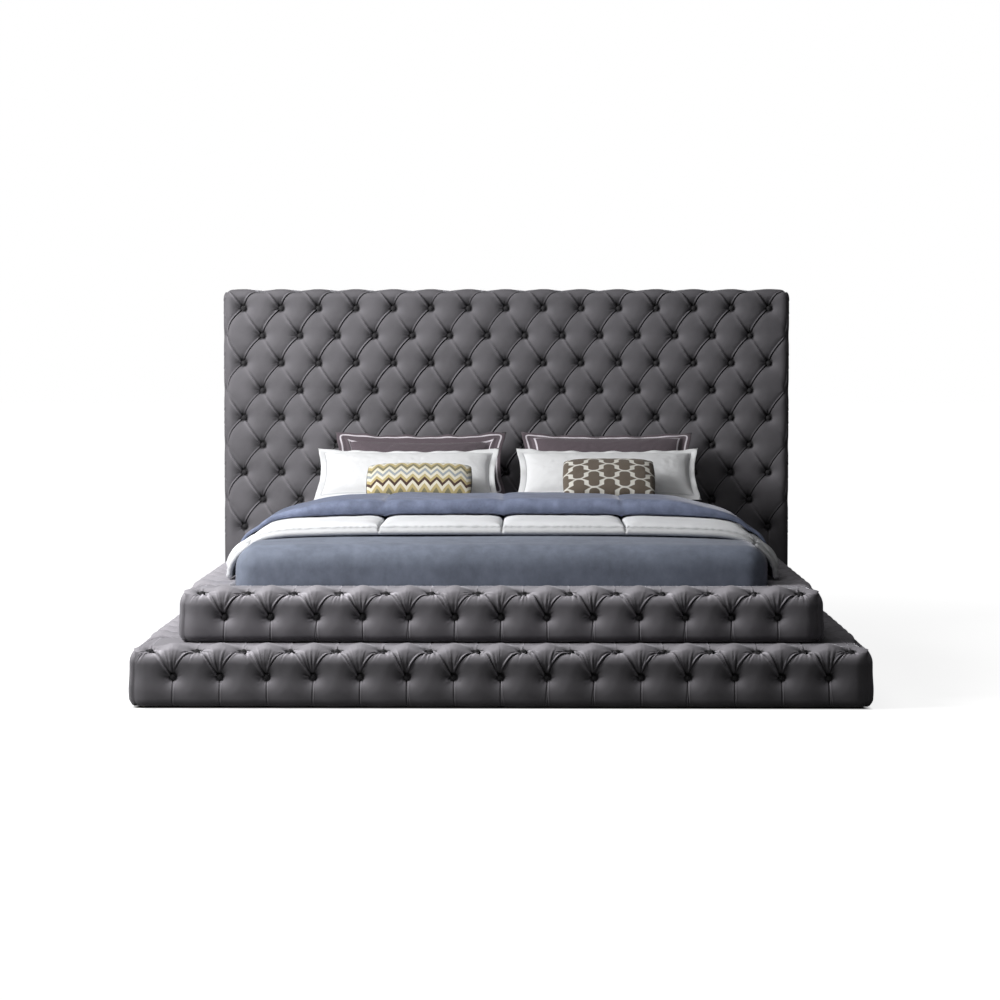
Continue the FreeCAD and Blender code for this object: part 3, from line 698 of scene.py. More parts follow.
def crown_dimple(field, tier, s, rng):
    """The hollow behind the front roll, the short gathers down the face and a seam back over the top."""
    seat = (s, tier.crown)
    field.dimple(*seat, 0.0185, 0.018, 0.015)
    field.dimple(s, tier.crown - 0.024, 0.0060, 0.020, 0.014)
    # painted shade in the hollow behind the roll
    field.brush(*seat, (0, 0, 0.028, -0.80))
    for _ in range(13):
        away = rng.uniform(-0.060, 0.060)
        end = (s + away, tier.crown - rng.uniform(0.050, 0.105))
        field.stroke(seat, end, rng.uniform(0.0026, 0.0052), 0.0026, 0.0026, 0.0, 0.12, 0.55, 0.1)
    field.gather(*seat, rng, CROWN_FANS)
    field.stroke(seat, (s + rng.uniform(-0.005, 0.005), BEYOND), *TOP_SEAM)


def shape_tier_end(tier, seats, seed):
    """The height function of a front piece's end face, where t is the height and s the distance back."""

    def shape(field):
        rng = np.random.default_rng(seed)
        for s in seats:
            seat = (s, tier.row)
            field.dimple(*seat, reach=0.024)
            for away in (-HALF, HALF):
                field.stroke(seat, (s + away, tier.rise + 0.03), *END_PLEAT)
            field.gather(*seat, rng, END_FANS)
            field.stroke(seat, (s, BOTTOM), *END_STEM)
        field.h += tier.belly(field.t) + 0.003
        field.h *= smoothstep(0.0, 0.02, field.s)

    return shape


def foot_piece(tier, low, high, count, end_seats):
    """The front piece of a tier, with count buttons on its face and end_seats on each end."""
    place = facing_foot(low)
    pad = Pad(low.x, high.x, high.y - low.y, tier.rise, PAD, PAD, PAD, tier.lining, True, ROLL, place)
    faces = [(i - (count - 1) / 2) * PITCH for i in range(count)]
    crowns = [(i - count / 2) * PITCH for i in range(count + 1)]
    columns = line_columns(low.x - HALF - 0.01, high.x, faces[0])
    shape = shape_tier(tier, faces, crowns, 21 + count)
    return tier.piece("foot", pad, columns, shape, shape_tier_end(tier, end_seats, 41 + count))


def side_piece(tier, side, first):
    """One side rail; a runs towards the head on the right and towards the foot on the left."""
    low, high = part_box(f"{side}_{tier.name}_cover")
    sign = 1 if side == "right" else -1

    def place(p):
        x = high.x - p[:, 1] if side == "right" else low.x + p[:, 1]
        return np.stack([x, sign * p[:, 0], low.z + p[:, 2]], axis=1)

    ends = sorted((sign * low.y, sign * high.y))
    pad = Pad(*ends, high.x - low.x, tier.rise, PAD, PAD, 0.0, tier.lining, False, ROLL, place)
    faces = sorted(sign * (first + j * PITCH) for j in range(12))
    crowns = [a - HALF for a in faces] + [faces[-1] + HALF]
    crowns = [a for a in crowns if ends[0] < a < ends[1]]
    columns = line_columns(ends[0] - HALF - 0.01, ends[1], faces[0], 20)
    return tier.piece(side, pad, columns, shape_tier(tier, faces, crowns, 61 + sign))


def base_covers():
    """The headboard's cover and, for each tier, its front piece and two rails."""
    covers = [headboard_cover()]
    tiers = ((Tier("lower", LOWER_BUTTON_Z, 0.0), 15, 2), (Tier("upper", UPPER_BUTTON_Z, LINING), 13, 1))
    for tier, count, number in tiers:
        low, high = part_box(f"foot_{tier.name}_cover")
        seats = [CORNER + k * PITCH for k in range(number)]
        covers.append(foot_piece(tier, low, high, count, seats))
        first = low.y + CORNER + number * PITCH
        covers += [side_piece(tier, side, first) for side in ("left", "right")]
    return covers


def back_cloth():
    """The black cloth stapled across the headboard's back, drawn in a little at each staple."""
    low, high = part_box("headboard_back_cloth")
    x, z = np.meshgrid(np.linspace(low.x, high.x, 240), np.linspace(low.z, high.z, 140))
    edge = np.minimum(np.minimum(x - low.x, high.x - x), np.minimum(z - low.z, high.z - z))
    staple = np.cos(2 * np.pi * (x + z) / 0.06) * np.exp(-edge / 0.018)
    slack = np.sin(x * 3.7 + 0.6) * np.sin(z * 4.9) * smoothstep(0.0, 0.2, edge)
    drawn = 0.0004 * (staple - np.exp(-edge / 0.012)) + 0.0003 * slack - 0.0004
    outer = np.stack([x, high.y + drawn, z], axis=-1).reshape(-1, 3)
    inner = outer - np.array([0.0, high.y - low.y - 0.0008, 0.0])
    quads = grid_quads(*x.shape)
    ring = rim_of(*x.shape)
    count = len(outer)
    faces = quads.tolist() + (quads[:, ::-1] + count).tolist() + strip(ring, ring + count).tolist()
    obj = mesh_from("stapled_back_cloth", np.concatenate([outer, inner]), faces)
    close_normals(obj)
    finish_piece(obj, "base", "headboard_back_cloth")
    return obj


# ---------------------------------------------------------------- mattress and bedding


def box_skin(name, low, high, radius, step, sides, push):
    """A rounded box skin: the named sides are gridded, joined, rounded and pushed along their directions."""
    axes = [np.linspace(low[k], high[k], max(3, int((high[k] - low[k]) / step))) for k in range(3)]
    points = []
    quads = []
    offset = 0
    for side in sides:
        axis = "xyz".index(side[1])
        first, second = [k for k in range(3) if k != axis]
        one, two = np.meshgrid(axes[first], axes[second])
        grid = np.zeros((*one.shape, 3))
        grid[..., first] = one
        grid[..., second] = two
        grid[..., axis] = high[axis] if side[0] == "+" else low[axis]
        points.append(grid.reshape(-1, 3))
        quads.append(grid_quads(*one.shape) + offset)
        offset += one.size
    base, _, whole, _ = weld(np.concatenate(points), [], np.concatenate(quads))
    inner_low = [low[k] + radius * (f"-{letter}" in sides) for k, letter in enumerate("xyz")]
    inner_high = [high[k] - radius * (f"+{letter}" in sides) for k, letter in enumerate("xyz")]
    q = np.clip(base, inner_low, inner_high)
    out = base - q
    direction = out / np.maximum(np.linalg.norm(out, axis=1), 1e-9)[:, None]
    places = q + direction * (radius + push(base, direction))[:, None]
    obj = mesh_from(name, places, whole.tolist())
    close_normals(obj)
    return obj


def ripple(p, seed, size, height):
    """Smooth uneven waves, made of a few crossing sines."""
    rng = np.random.default_rng(seed)
    total = np.zeros(len(p))
    for _ in range(7):
        turn = rng.normal(size=3)
        turn /= np.linalg.norm(turn)
        wave = rng.uniform(0.6, 1.8) * 2 * np.pi / size
        total += np.sin(p @ turn * wave + rng.uniform(0, 6.3)) * rng.uniform(0.3, 1.0)
    return height * total / 3


def ripples(s, t, *waves):
    """The sum of some ripples, each a seed, size and height, over a grid."""
    p = np.stack([s.ravel(), t.ravel(), s.ravel() * 0], axis=1)
    return sum(ripple(p, *wave) for wave in waves).reshape(s.shape)


MATTRESS_QUILT = 0.14  # between its stitched diagonals
MATTRESS_TAPE = 0.030  # from its top and bottom to the taped edge
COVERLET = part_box("coverlet")
CROWN = 0.026  # how much the middle of the made bed stands above its edge


def mattress():
    """A quilted mattress: stitched diamonds on top, a plain border and taped edges."""
    low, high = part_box("mattress")

    def push(p, direction):
        top = smoothstep(0.6, 0.95, direction[:, 2])
        one = np.abs(np.sin(np.pi * (p[:, 0] + p[:, 1]) / MATTRESS_QUILT))
        two = np.abs(np.sin(np.pi * (p[:, 0] - p[:, 1]) / MATTRESS_QUILT))
        quilt = 0.007 * (np.sqrt(one * two) - 1) * top
        middle = (low.z + high.z) / 2
        half = (high.z - low.z) / 2
        gap = np.abs(np.abs(p[:, 2] - middle) - (half - MATTRESS_TAPE))
        tape = 0.004 * bell(gap, 0.006) - 0.003 * bell(gap - 0.012, 0.005)
        return quilt + tape * (1 - top) - 0.001

    sides = ("+x", "-x", "+y", "-y", "+z", "-z")
    obj = box_skin("quilted_mattress", low, high, 0.055, 0.014, sides, push)
    finish_piece(obj, "bedding", "mattress")
    return obj


def coverlet_rise(x, y):
    """How much the made bed crowns above its edge."""
    low, high = COVERLET
    across = 1 - np.clip(np.abs(x) / high.x, 0, 1) ** 4
    return CROWN * across * smoothstep(0.02, 0.30, y - low.y)


def coverlet():
    """The blue velvet cover over the mattress, hanging to the foot and the sides with rounded corners."""
    low, high = COVERLET
    drop = high.z - low.z

    def push(p, direction):
        top = np.clip(direction[:, 2], 0, 1)
        crown = coverlet_rise(p[:, 0], p[:, 1]) * top
        hang = 0.0035 * (1 - top) * np.clip((high.z - p[:, 2]) / drop, 0, 1)
        fold = hang * np.sin(p[:, 0] * 9.0 + 3.0 * np.sin(p[:, 0] * 2.3))
        fold += hang * np.sin(p[:, 1] * 8.0 + 1.0)
        return crown + fold + ripple(p, 5, 0.8, 0.0022) - 0.003

    obj = box_skin("velvet_coverlet", low, high, 0.085, 0.013, ("+x", "-x", "-y", "+z"), push)
    cloth = obj.modifiers.new("thickness", "SOLIDIFY")
    cloth.thickness = 0.007
    cloth.offset = -1
    cloth.use_even_offset = False
    finish_piece(obj, "bedding", "coverlet")
    return obj


RIM_STEPS = 4  # strips round a slab's edge


def slab(name, s_values, t_values, lower, thickness):
    """A closed soft slab: lower gives (point, direction) of its underside, thickness its height there."""
    s, t = np.meshgrid(s_values, t_values)
    point, direction = lower(s, t)
    over = (point + direction * thickness(s, t)[..., None]).reshape(-1, 3)
    under = point.reshape(-1, 3)
    count = s.size
    quads = grid_quads(*s.shape)
    faces = (quads + count).tolist() + quads[:, ::-1].tolist()
    ring = rim_of(*s.shape)
    outward = edge_directions(point)[ring]
    half = np.linalg.norm(over[ring] - under[ring], axis=1)[:, None] / 2
    points = [under, over]
    rings = [ring]
    for k in range(1, RIM_STEPS):
        angle = math.pi * k / RIM_STEPS
        level = under[ring] + (over[ring] - under[ring]) * (0.5 - 0.5 * math.cos(angle))
        points.append(level + outward * half * math.sin(angle))
        rings.append(np.arange(len(ring)) + 2 * count + (k - 1) * len(ring))
    rings.append(ring + count)
    for one, two in zip(rings, rings[1:]):
        faces += strip(one, two).tolist()
    obj = mesh_from(name, np.concatenate(points), faces)
    close_normals(obj)
    return obj


def edge_directions(point):
    """For the rim of a grid, the direction away from the grid."""
    out = np.zeros_like(point)
    out[:, 0] += point[:, 0] - point[:, 1]
    out[:, -1] += point[:, -1] - point[:, -2]
    out[0] += point[0] - point[1]
    out[-1] += point[-1] - point[-2]
    out = out.reshape(-1, 3)
    return out / np.maximum(np.linalg.norm(out, axis=1), 1e-9)[:, None]


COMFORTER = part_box("comforter")
QUILT = 0.463  # between the comforter's cross seams
SEAMS = [k * QUILT for k in (-2, -1, 0, 1, 2)]
BORDER = 0.030  # plain band along the comforter's edge, outside its piped seam
SEAM_ROWS = [COMFORTER[0].y + BORDER + k * QUILT for k in (1, 2, 3)]
SIDE_GAP = 0.035  # from the comforter's box to its underside at the hem
FLAT_HALF = 0.80  # half width of the comforter that lies flat
WIDE = COMFORTER[1].x - SIDE_GAP - FLAT_HALF  # of its elliptic shoulder
TALL = COVERLET[1].z - COMFORTER[0].z
SHOULDER = 1.5708 * math.sqrt((WIDE * WIDE + TALL * TALL) / 2)
REACH = FLAT_HALF + SHOULDER  # unfolded half width
LOFT = 0.024  # how much the filling rises above the seams
SEAM_LEVEL = 0.020
SEAM_WIDTH = 0.004
THINNEST = 0.012


def shoulder(s):
    """(x, fall, direction) of the unfolded distance s: level, then over an elliptic shoulder."""
    over = np.clip((np.abs(s) - FLAT_HALF) / SHOULDER, 0, 1) * math.pi / 2
    x = np.where(np.abs(s) < FLAT_HALF, np.abs(s), FLAT_HALF + WIDE * np.sin(over))
    lift = np.stack([np.sin(over) * TALL * np.sign(s), np.zeros_like(s), np.cos(over) * WIDE], axis=-1)
    return np.sign(s) * x, TALL * (1 - np.cos(over)), lift / np.hypot(lift[..., 0], lift[..., 2])[..., None]


def comforter_under(s, t):
    """Underside of the comforter: on the coverlet, then over a soft shoulder down to the rail."""
    x, fall, direction = shoulder(s)
    hang = smoothstep(0.9, REACH, np.abs(s))
    x = x + np.sign(s) * hang * (0.006 * np.sin(t * 17.0 + 2.0 * np.sin(t * 5.0)) - 0.010)
    y = t + 0.012 * np.sin(s * 5.0) * smoothstep(0.9, 1.1, np.abs(s))
    crown = coverlet_rise(x, y) + 0.004 * smoothstep(0.82, 0.92, np.abs(x))
    crown = crown * (1 - smoothstep(0.90, 1.03, np.abs(x)))
    z = COVERLET[1].z + 0.002 - fall + crown
    return np.stack([x, y, z], axis=-1), direction


def seam_puff(offset, width):
    """1 between seams and 0 on one, with round shoulders."""
    w = np.clip(np.abs(offset) / width, 0, 1)
    return np.sqrt(1 - (1 - w) ** 2)


def cross_seams(s):
    """1 on the comforter's cross seams and 0 elsewhere."""
    return np.max([bell(s - seam, SEAM_WIDTH) for seam in SEAMS], axis=0)


def comforter_thickness(s, t):
    """Boxes of filling between the seams, and a piped seam inside the border."""
    low, high = COMFORTER
    puffs = [seam_puff(s - seam, 0.075) for seam in SEAMS]
    puffs += [seam_puff(t - row, 0.075) for row in SEAM_ROWS]
    inside = np.minimum(np.minimum(t - low.y, REACH - np.abs(s)), high.y - t) - BORDER
    filled = np.minimum(seam_puff(inside, 0.085) * (inside > 0), np.min(puffs, axis=0))
    groove = bell(inside, 0.0035)
    pipe = bell(inside + 0.006, 0.0032)
    crease = ripples(s, t, (8, 0.16, 0.0016), (12, 0.07, 0.0009)) * filled
    pucker = 0.0018 * bell(inside, 0.03) * np.sin((s + t) * 190.0 + 4 * np.sin(s * 23.0))
    body = SEAM_LEVEL + LOFT * np.where(inside > 0, filled, 0.0)
    body = body - 0.009 * groove + 0.005 * pipe - 0.006 * cross_seams(s) + crease + pucker
    return np.maximum(body, THINNEST)


def comforter():
    """A white quilted comforter, box stitched, with a piped seam inside a plain band round its edge."""
    low, high = COMFORTER
    rim = 0.35  # how much painted seam shade the border band has
    s_values = edge_lines(-REACH, REACH, [*SEAMS, -REACH + BORDER, REACH - BORDER], 0.012, 0.002)
    t_values = edge_lines(low.y, high.y, [low.y + BORDER, *SEAM_ROWS], 0.012, 0.002)
    obj = slab("white_comforter", s_values, t_values, comforter_under, comforter_thickness)
    s, t = np.meshgrid(s_values, t_values)
    inside = np.minimum(t - low.y, REACH - np.abs(s)) - BORDER
    # painted shade along the seams and over the border band and the rounded rim
    marks = np.maximum(bell(inside, 0.0045), cross_seams(s)) + rim * (inside < 0)
    marks = marks.reshape(-1)
    rest = np.full(len(obj.data.vertices) - 2 * len(marks), rim)
    store(obj, "stitched", np.concatenate([marks, marks, rest]))
    finish_piece(obj, "bedding", "comforter")
    return obj


def edge_lines(low, high, seams, step, fine):
    """Grid lines from low to high, closer together beside each seam."""
    values = [low, high]
    position = low
    while position < high:
        values.append(position)
        gap = min(abs(position - seam) for seam in seams)
        position += fine + (step - fine) * min(1.0, gap / 0.05)
    return np.array(sorted(set(values)))


THROW_REACH = REACH - 0.045
THROW_EDGE = 0.014  # thickness at its hems
THROW_BODY = 0.048  # how much thicker it is in the middle


def throw_under(s, t):
    """Underside of the throw: sunk into the comforter, more so over its seams and at the hems."""
    point, direction = comforter_under(s, t)
    snug = 0.046 - 0.018 * smoothstep(THROW_REACH - 0.08, THROW_REACH, np.abs(s))
    for seam in SEAMS:
        snug = snug - 0.010 * (1 - seam_puff(s - seam, 0.07))
    point = point + direction * snug[..., None]
    point[..., 1] += 0.010 * np.sin(s * 3.1 + 0.7) + 0.006 * np.sin(s * 7.3)
    return point, direction


def blanket():
    """The blue throw folded over across the bed, on the comforter, with a round fold towards the foot."""
    low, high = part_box("folded_blanket")

    def thickness(s, t):
        body = THROW_EDGE + THROW_BODY * (1 - smoothstep(0.62, 0.97, np.abs(s)))
        edge = seam_puff(np.maximum(np.minimum(t - low.y, high.y - t), 0), 0.06)
        wavy = ripples(s, t, (17, 0.35, 0.0040), (19, 0.12, 0.0012))
        return body * (0.66 + 0.34 * edge) + wavy * edge * body / (THROW_EDGE + THROW_BODY)

    s_values = np.linspace(-THROW_REACH, THROW_REACH, 260)
    ends = (low.y + 0.03, high.y - 0.03)
    obj = slab("folded_throw", s_values, edge_lines(*ends, ends, 0.014, 0.004), throw_under, thickness)
    finish_piece(obj, "bedding", "folded_blanket")
    return obj


# ---------------------------------------------------------------- pillows

PILLOW_TILT = 52.0  # degrees from upright
CASE_EASE = 1.06  # a case is cut a little larger than the stuffed pillow
CASE_CELL = 0.0125
BLOWING = 26  # frames of simulation
CLOTH = {
    "quality": 6,
    "mass": 0.25,
    "tension_stiffness": 25,
    "compression_stiffness": 25,
    "shear_stiffness": 8,
    "bending_stiffness": 0.25,
    "tension_damping": 12,
    "compression_damping": 12,
    "air_damping": 4,
    "use_pressure": True,
}


class Case:
    """One pillow: the flat cut of its case, the size it is stuffed to and the pull on its seams.

    shrink is how much smaller the stuffed outline is than the cut, and sag how far the middle of each
    edge is drawn in between the corners.
    """

    def __init__(self, node, flange, pressure, shrink, sag, slot, seed):
        low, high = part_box(node)
        turn = math.radians(PILLOW_TILT)
        self.thick = 0.100 if node.startswith("lumbar") else 0.120
        width = high.x - low.x
        slope = (high.z - low.z - self.thick * math.sin(turn)) / math.cos(turn)
        self.width = (width - 2 * flange) * CASE_EASE
        self.height = (slope - 2 * flange) * CASE_EASE
        self.grid = (int(self.height / CASE_CELL) + 1, int(self.width / CASE_CELL) + 1)
        self.over = np.array([width + 0.016, slope + 0.012, self.thick])
        self.node = node
        self.flange = flange
        self.pressure = pressure
        self.shrink = shrink
        self.sag = sag
        self.slot = slot
        self.seed = seed


def case_panels(case):
    """Two flat panels sewn together round their edge, as (flat points, faces, which points are seam)."""
    rows, cols = case.grid
    x, y = np.meshgrid(np.linspace(-0.5, 0.5, cols), np.linspace(-0.5, 0.5, rows))
    flat = np.stack([x * case.width, y * case.height], axis=-1).reshape(-1, 2)
    rim = ((np.abs(x) > 0.4999) | (np.abs(y) > 0.4999)).reshape(-1)
    lift = np.where(rim, 0, 0.0005)
    front = np.column_stack([flat, lift])
    back = np.column_stack([flat, -lift])[~rim]
    number = np.where(rim, np.arange(len(rim)), len(rim) + np.cumsum(~rim) - 1)
    quads = grid_quads(rows, cols)
    faces = quads.tolist() + number[quads][:, ::-1].tolist()
    return np.concatenate([front, back]), faces, np.concatenate([rim, np.zeros(len(back), bool)])


def stuffed(points, case):
    """The panels swollen evenly, with their seam drawn in between the corners."""
    x = points[:, 0] / (case.width / 2)
    y = points[:, 1] / (case.height / 2)
    swell = np.sqrt(np.maximum((1 - x**4) * (1 - y**4), 0)) * 0.45 * case.thick
    swell = swell * (1 + np.random.default_rng(case.seed).normal(0, 0.03, len(swell)))
    in_x = case.sag * (1 - np.abs(y) ** 2.4) * x
    in_y = case.sag * (1 - np.abs(x) ** 3.0) * y
    drawn = points[:, :2] * case.shrink - np.column_stack([in_x, in_y])
    return np.column_stack([drawn, np.sign(points[:, 2]) * swell])


def inflate(points, faces, flat, rim, case):
    """Blows the sewn panels up as cloth between their fixed seams and returns where the points end."""
    obj = mesh_from("case", points, faces)
    close_normals(obj)
    obj.shape_key_add(name="stuffed")
    rest = obj.shape_key_add(name="flat")
    rest.data.foreach_set("co", flat.reshape(-1).astype(np.float32))
    seam = obj.vertex_groups.new(name="seam")
    seam.add([int(i) for i in np.flatnonzero(rim)], 1.0, "REPLACE")
    modifier = obj.modifiers.new("cloth", "CLOTH")
    settings = modifier.settings
    settings.rest_shape_key = rest
    settings.vertex_group_mass = seam.name
    for name, value in CLOTH.items():
        setattr(settings, name, value)
    settings.uniform_pressure_force = case.pressure
    settings.effector_weights.gravity = 0
    modifier.collision_settings.use_collision = False
    modifier.point_cache.frame_start = 1
    modifier.point_cache.frame_end = BLOWING
    for number in range(1, BLOWING + 1):
        bpy.context.scene.frame_set(number)
    made = obj.evaluated_get(bpy.context.evaluated_depsgraph_get())
    blown = np.array([v.co for v in made.data.vertices])
    mesh = obj.data
    bpy.data.objects.remove(obj)
    bpy.data.meshes.remove(mesh)
    bpy.context.scene.frame_set(1)
    return blown


def fit_case(points, case):
    """Scales the blown case to its real size and leans it back on the bed where its CAD solid is."""
    low = points.min(axis=0)
    high = points.max(axis=0)
    points = (points - (low + high) / 2) * (case.over / (high - low))
    turn = math.radians(PILLOW_TILT)
    up = np.array([0, math.sin(turn), math.cos(turn)])
    out = np.array([0, -math.cos(turn), math.sin(turn)])
    low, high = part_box(case.node)
    middle = np.array((low + high) / 2)
    return middle + points[:, :1] * np.array([1, 0, 0]) + points[:, 1:2] * up + points[:, 2:] * out


def add_flange(points, faces, cloth, case):
    """A flat double border sewn outside the filled part, slightly rippled."""
    ring = rim_of(*case.grid)
    corner = cloth[ring] / np.array([case.width / 2, case.height / 2])
    outward = np.where(np.abs(corner) > 0.9999, np.sign(corner), 0.0)
    phase = np.random.default_rng(case.seed + 3).uniform(0, 6.3, 3)
    along = np.arange(len(ring)) / len(ring) * 2 * np.pi
    wave = 0.004 * np.sin(11 * along + phase[0]) + 0.003 * np.sin(23 * along + phase[1])
    grown = [points]
    grown_cloth = [cloth]
    for side, share in ((1, 0.35), (1, 0.7), (0, 1.0), (-1, 0.35), (-1, 0.7)):
        move = outward * case.flange * share
        place = points[ring].copy()
        place[:, :2] += move
        place[:, 2] += wave * share + side * 0.0016
        grown.append(place)
        grown_cloth.append(cloth[ring] + move)
    new = len(points) + np.arange(5 * len(ring)).reshape(5, -1)
    for k, onward in ((0, 1), (3, -1)):
        path = (ring, new[k], new[k + 1], new[2])
        for one, two in zip(path, path[1:]):
            faces += strip(one, two)[:, ::onward].tolist()
    return np.concatenate(grown), faces, np.concatenate(grown_cloth)


def pillow(name, case):
    """A pillow blown up by cloth simulation, fitted to its solid and leaned back."""
    flat, faces, rim = case_panels(case)
    cloth = flat[:, :2]
    points = stuffed(flat, case)
    points = inflate(points, faces, flat, rim, case)
    if case.flange:
        points, faces, cloth = add_flange(points, faces, cloth, case)
    obj = mesh_from(name, fit_case(points, case), faces)
    close_normals(obj)
    if case.flange:
        tips = (np.abs(cloth) >= np.abs(cloth).max(axis=0) - 1e-6).all(axis=1)
        store(obj, "crease_vert", tips)
    store(obj, "cloth_x", cloth[:, 0])
    store(obj, "cloth_y", cloth[:, 1])
    smooth = obj.modifiers.new("smooth", "SUBSURF")
    smooth.levels = 1
    smooth.render_levels = 1
    finish_piece(obj, case.node, case.node)
    return obj


def pillows():
    """On each side a sham, a white pillow and a lumbar pillow, with the cut of their cases."""
    made = []
    for side, seed, lumbar in (("left", 3, "chevron_weave"), ("right", 9, "lattice_weave")):
        for name, node, flange, pressure, shrink, sag, slot, fill in (
            ("striped_sham", "sham", 0.035, 3.0, 0.985, 0.022, "striped_sateen", 0.6),
            ("white_pillow", "pillow", 0.028, 3.6, 0.985, 0.018, "pillow_cotton", 0.7),
            ("patterned_lumbar", "lumbar", 0.0, 4.5, 0.92, -0.007, lumbar, 0.85),
        ):
            case = Case(f"{node}_{side}", flange, pressure, shrink, sag, slot, seed)
            made.append((pillow(f"{name}_{side}", case), case))
            seed += 1
    return made


# ---------------------------------------------------------------- materials


class Shader:
    """A Principled material and short ways to wire procedural nodes into it."""

    def __init__(self, name, colour, roughness, sheen=0.0, sheen_roughness=0.4, sheen_tint=(1, 1, 1)):
        self.material = bpy.data.materials.new(name)
        self.material.use_nodes = True
        self.nodes = self.material.node_tree.nodes
        self.links = self.material.node_tree.links
        self.out = self.nodes["Principled BSDF"]
        self.out.inputs["Base Color"].default_value = (*colour, 1)
        self.out.inputs["Roughness"].default_value = roughness
        self.out.inputs["Sheen Weight"].default_value = sheen
        self.out.inputs["Sheen Roughness"].default_value = sheen_roughness
        self.out.inputs["Sheen Tint"].default_value = (*sheen_tint, 1)
        self.out.inputs["Specular IOR Level"].default_value = 0.3
        self.place = self.node("TexCoord", {}, "Object")

    def join(self, source, socket):
        """Links an output to the socket, or gives the socket a number, a vector or a colour."""
        if hasattr(source, "is_output"):
            self.links.new(source, socket)
        elif socket.type == "RGBA":
            socket.default_value = (*source, 1)
        else:
            socket.default_value = source

    def node(self, kind, inputs, output=0, **settings):
        """Adds a node with its settings and inputs, and returns one of its outputs."""
        node = self.nodes.new(f"ShaderNode{kind}")
        for name, value in settings.items():
            setattr(node, name, value)
        for key, source in inputs.items():
            self.join(source, node.inputs[key])
        return node.outputs[output]

    def noise(self, scale, detail=4.0, roughness=0.55, place=None):
        inputs = {"Scale": scale, "Detail": detail, "Roughness": roughness, "Vector": place or self.place}
        return self.node("TexNoise", inputs, "Fac")

    def cells(self, scale):
        return self.node("TexVoronoi", {"Scale": scale, "Vector": self.place}, "Distance")

    def wave(self, scale, direction="X", distortion=0.0, detail_scale=1.0, place=None):
        inputs = {"Scale": scale, "Distortion": distortion, "Detail Scale": detail_scale}
        inputs["Vector"] = place or self.place
        return self.node("TexWave", inputs, "Fac", bands_direction=direction)

    def math(self, operation, one, two=0.0):
        return self.node("Math", {0: one, 1: two}, operation=operation)

    def span(self, value, low, high, to_low=0.0, to_high=1.0):
        """The value's place between low and high, as a number from to_low to to_high."""
        inputs = {"Value": value, "From Min": low, "From Max": high, "To Min": to_low, "To Max": to_high}
        return self.node("MapRange", inputs, "Result")

    def mix(self, share, one, two):
        return self.node("Mix", {"Factor": share, "A": one, "B": two}, "Result", data_type="RGBA")

    def shades(self, share, colour, low, high):
        """The colour times low where the share is 0 and times high where it is 1."""
        return self.mix(share, scaled(colour, low), scaled(colour, high))

    def times(self, colour, value):
        """The colour made lighter or darker by a number."""
        return self.node("VectorMath", {0: colour, "Scale": value}, operation="SCALE")

    def split(self, vector):
        return self.node("SeparateXYZ", {0: vector}).node.outputs

    def bands(self, value, colours):
        """Flat bands of colour over the values from 0 to 1."""
        made = self.node("ValToRGB", {"Fac": value}, "Color")
        ramp = made.node.color_ramp
        ramp.interpolation = "CONSTANT"
        for number, colour in enumerate(colours):
            spot = ramp.elements[0] if number == 0 else ramp.elements.new(number / len(colours))
            spot.position = number / len(colours)
            spot.color = (*colour, 1)
        ramp.elements.remove(ramp.elements[-1])
        return made

    def line_at(self, value, middle, half_width):
        """1 where the value is within half_width of the middle, and 0 elsewhere."""
        gap = self.math("ABSOLUTE", self.math("SUBTRACT", value, middle))
        return self.span(gap, half_width + 0.0006, half_width)

    def value_of(self, name):
        return self.node("Attribute", {}, "Fac", attribute_name=name)

    def set(self, name, source):
        """Links a socket of the Principled shader and returns the material."""
        self.links.new(source, self.out.inputs[name])
        return self.material

    def bump(self, height, distance, strength=1.0):
        inputs = {"Distance": distance, "Strength": strength, "Height": height}
        last = self.out.inputs["Normal"].links
        if last:
            inputs["Normal"] = last[0].from_socket
        return self.set("Normal", self.node("Bump", inputs, "Normal"))


def scaled(colour, share):
    """The colour made lighter or darker."""
    return tuple(min(1.0, c * share) for c in colour)


def painted_pile_light(shader, colour, tone, lift):
    """Tufted velvet with painted light: shade painted on the floors of the button hollows and in the creases,
    highlights painted on the lips, lighter where it faces up and darker where it faces down.
    """
    # painted shade on the floors of the button hollows
    hollow_shade = shader.span(shader.value_of("tuft"), -0.0165, -0.0205)
    tone = shader.mix(shader.math("MULTIPLY", hollow_shade, 0.80), tone, scaled(colour, 0.16))
    # painted shade in the creases and painted highlights on their lips and round the buttons
    brushed = shader.value_of("brushed")
    light = shader.span(brushed, 0.0, 1.0, 1.0, 1.75)
    crease_shade = shader.span(brushed, -1.0, 0.0, 0.34, 1.0)
    tone = shader.times(tone, shader.math("MULTIPLY", light, crease_shade))
    # painted top light where the surface faces up and painted shade where it faces down
    up = shader.split(shader.node("NewGeometry", {}, "Normal"))["Z"]
    painted_top_light = shader.span(up, 0.0, 0.7, 1.0, lift)
    under = shader.span(up, -0.55, 0.0, 0.45, 1.0)
    return shader.times(tone, shader.math("MULTIPLY", painted_top_light, under))


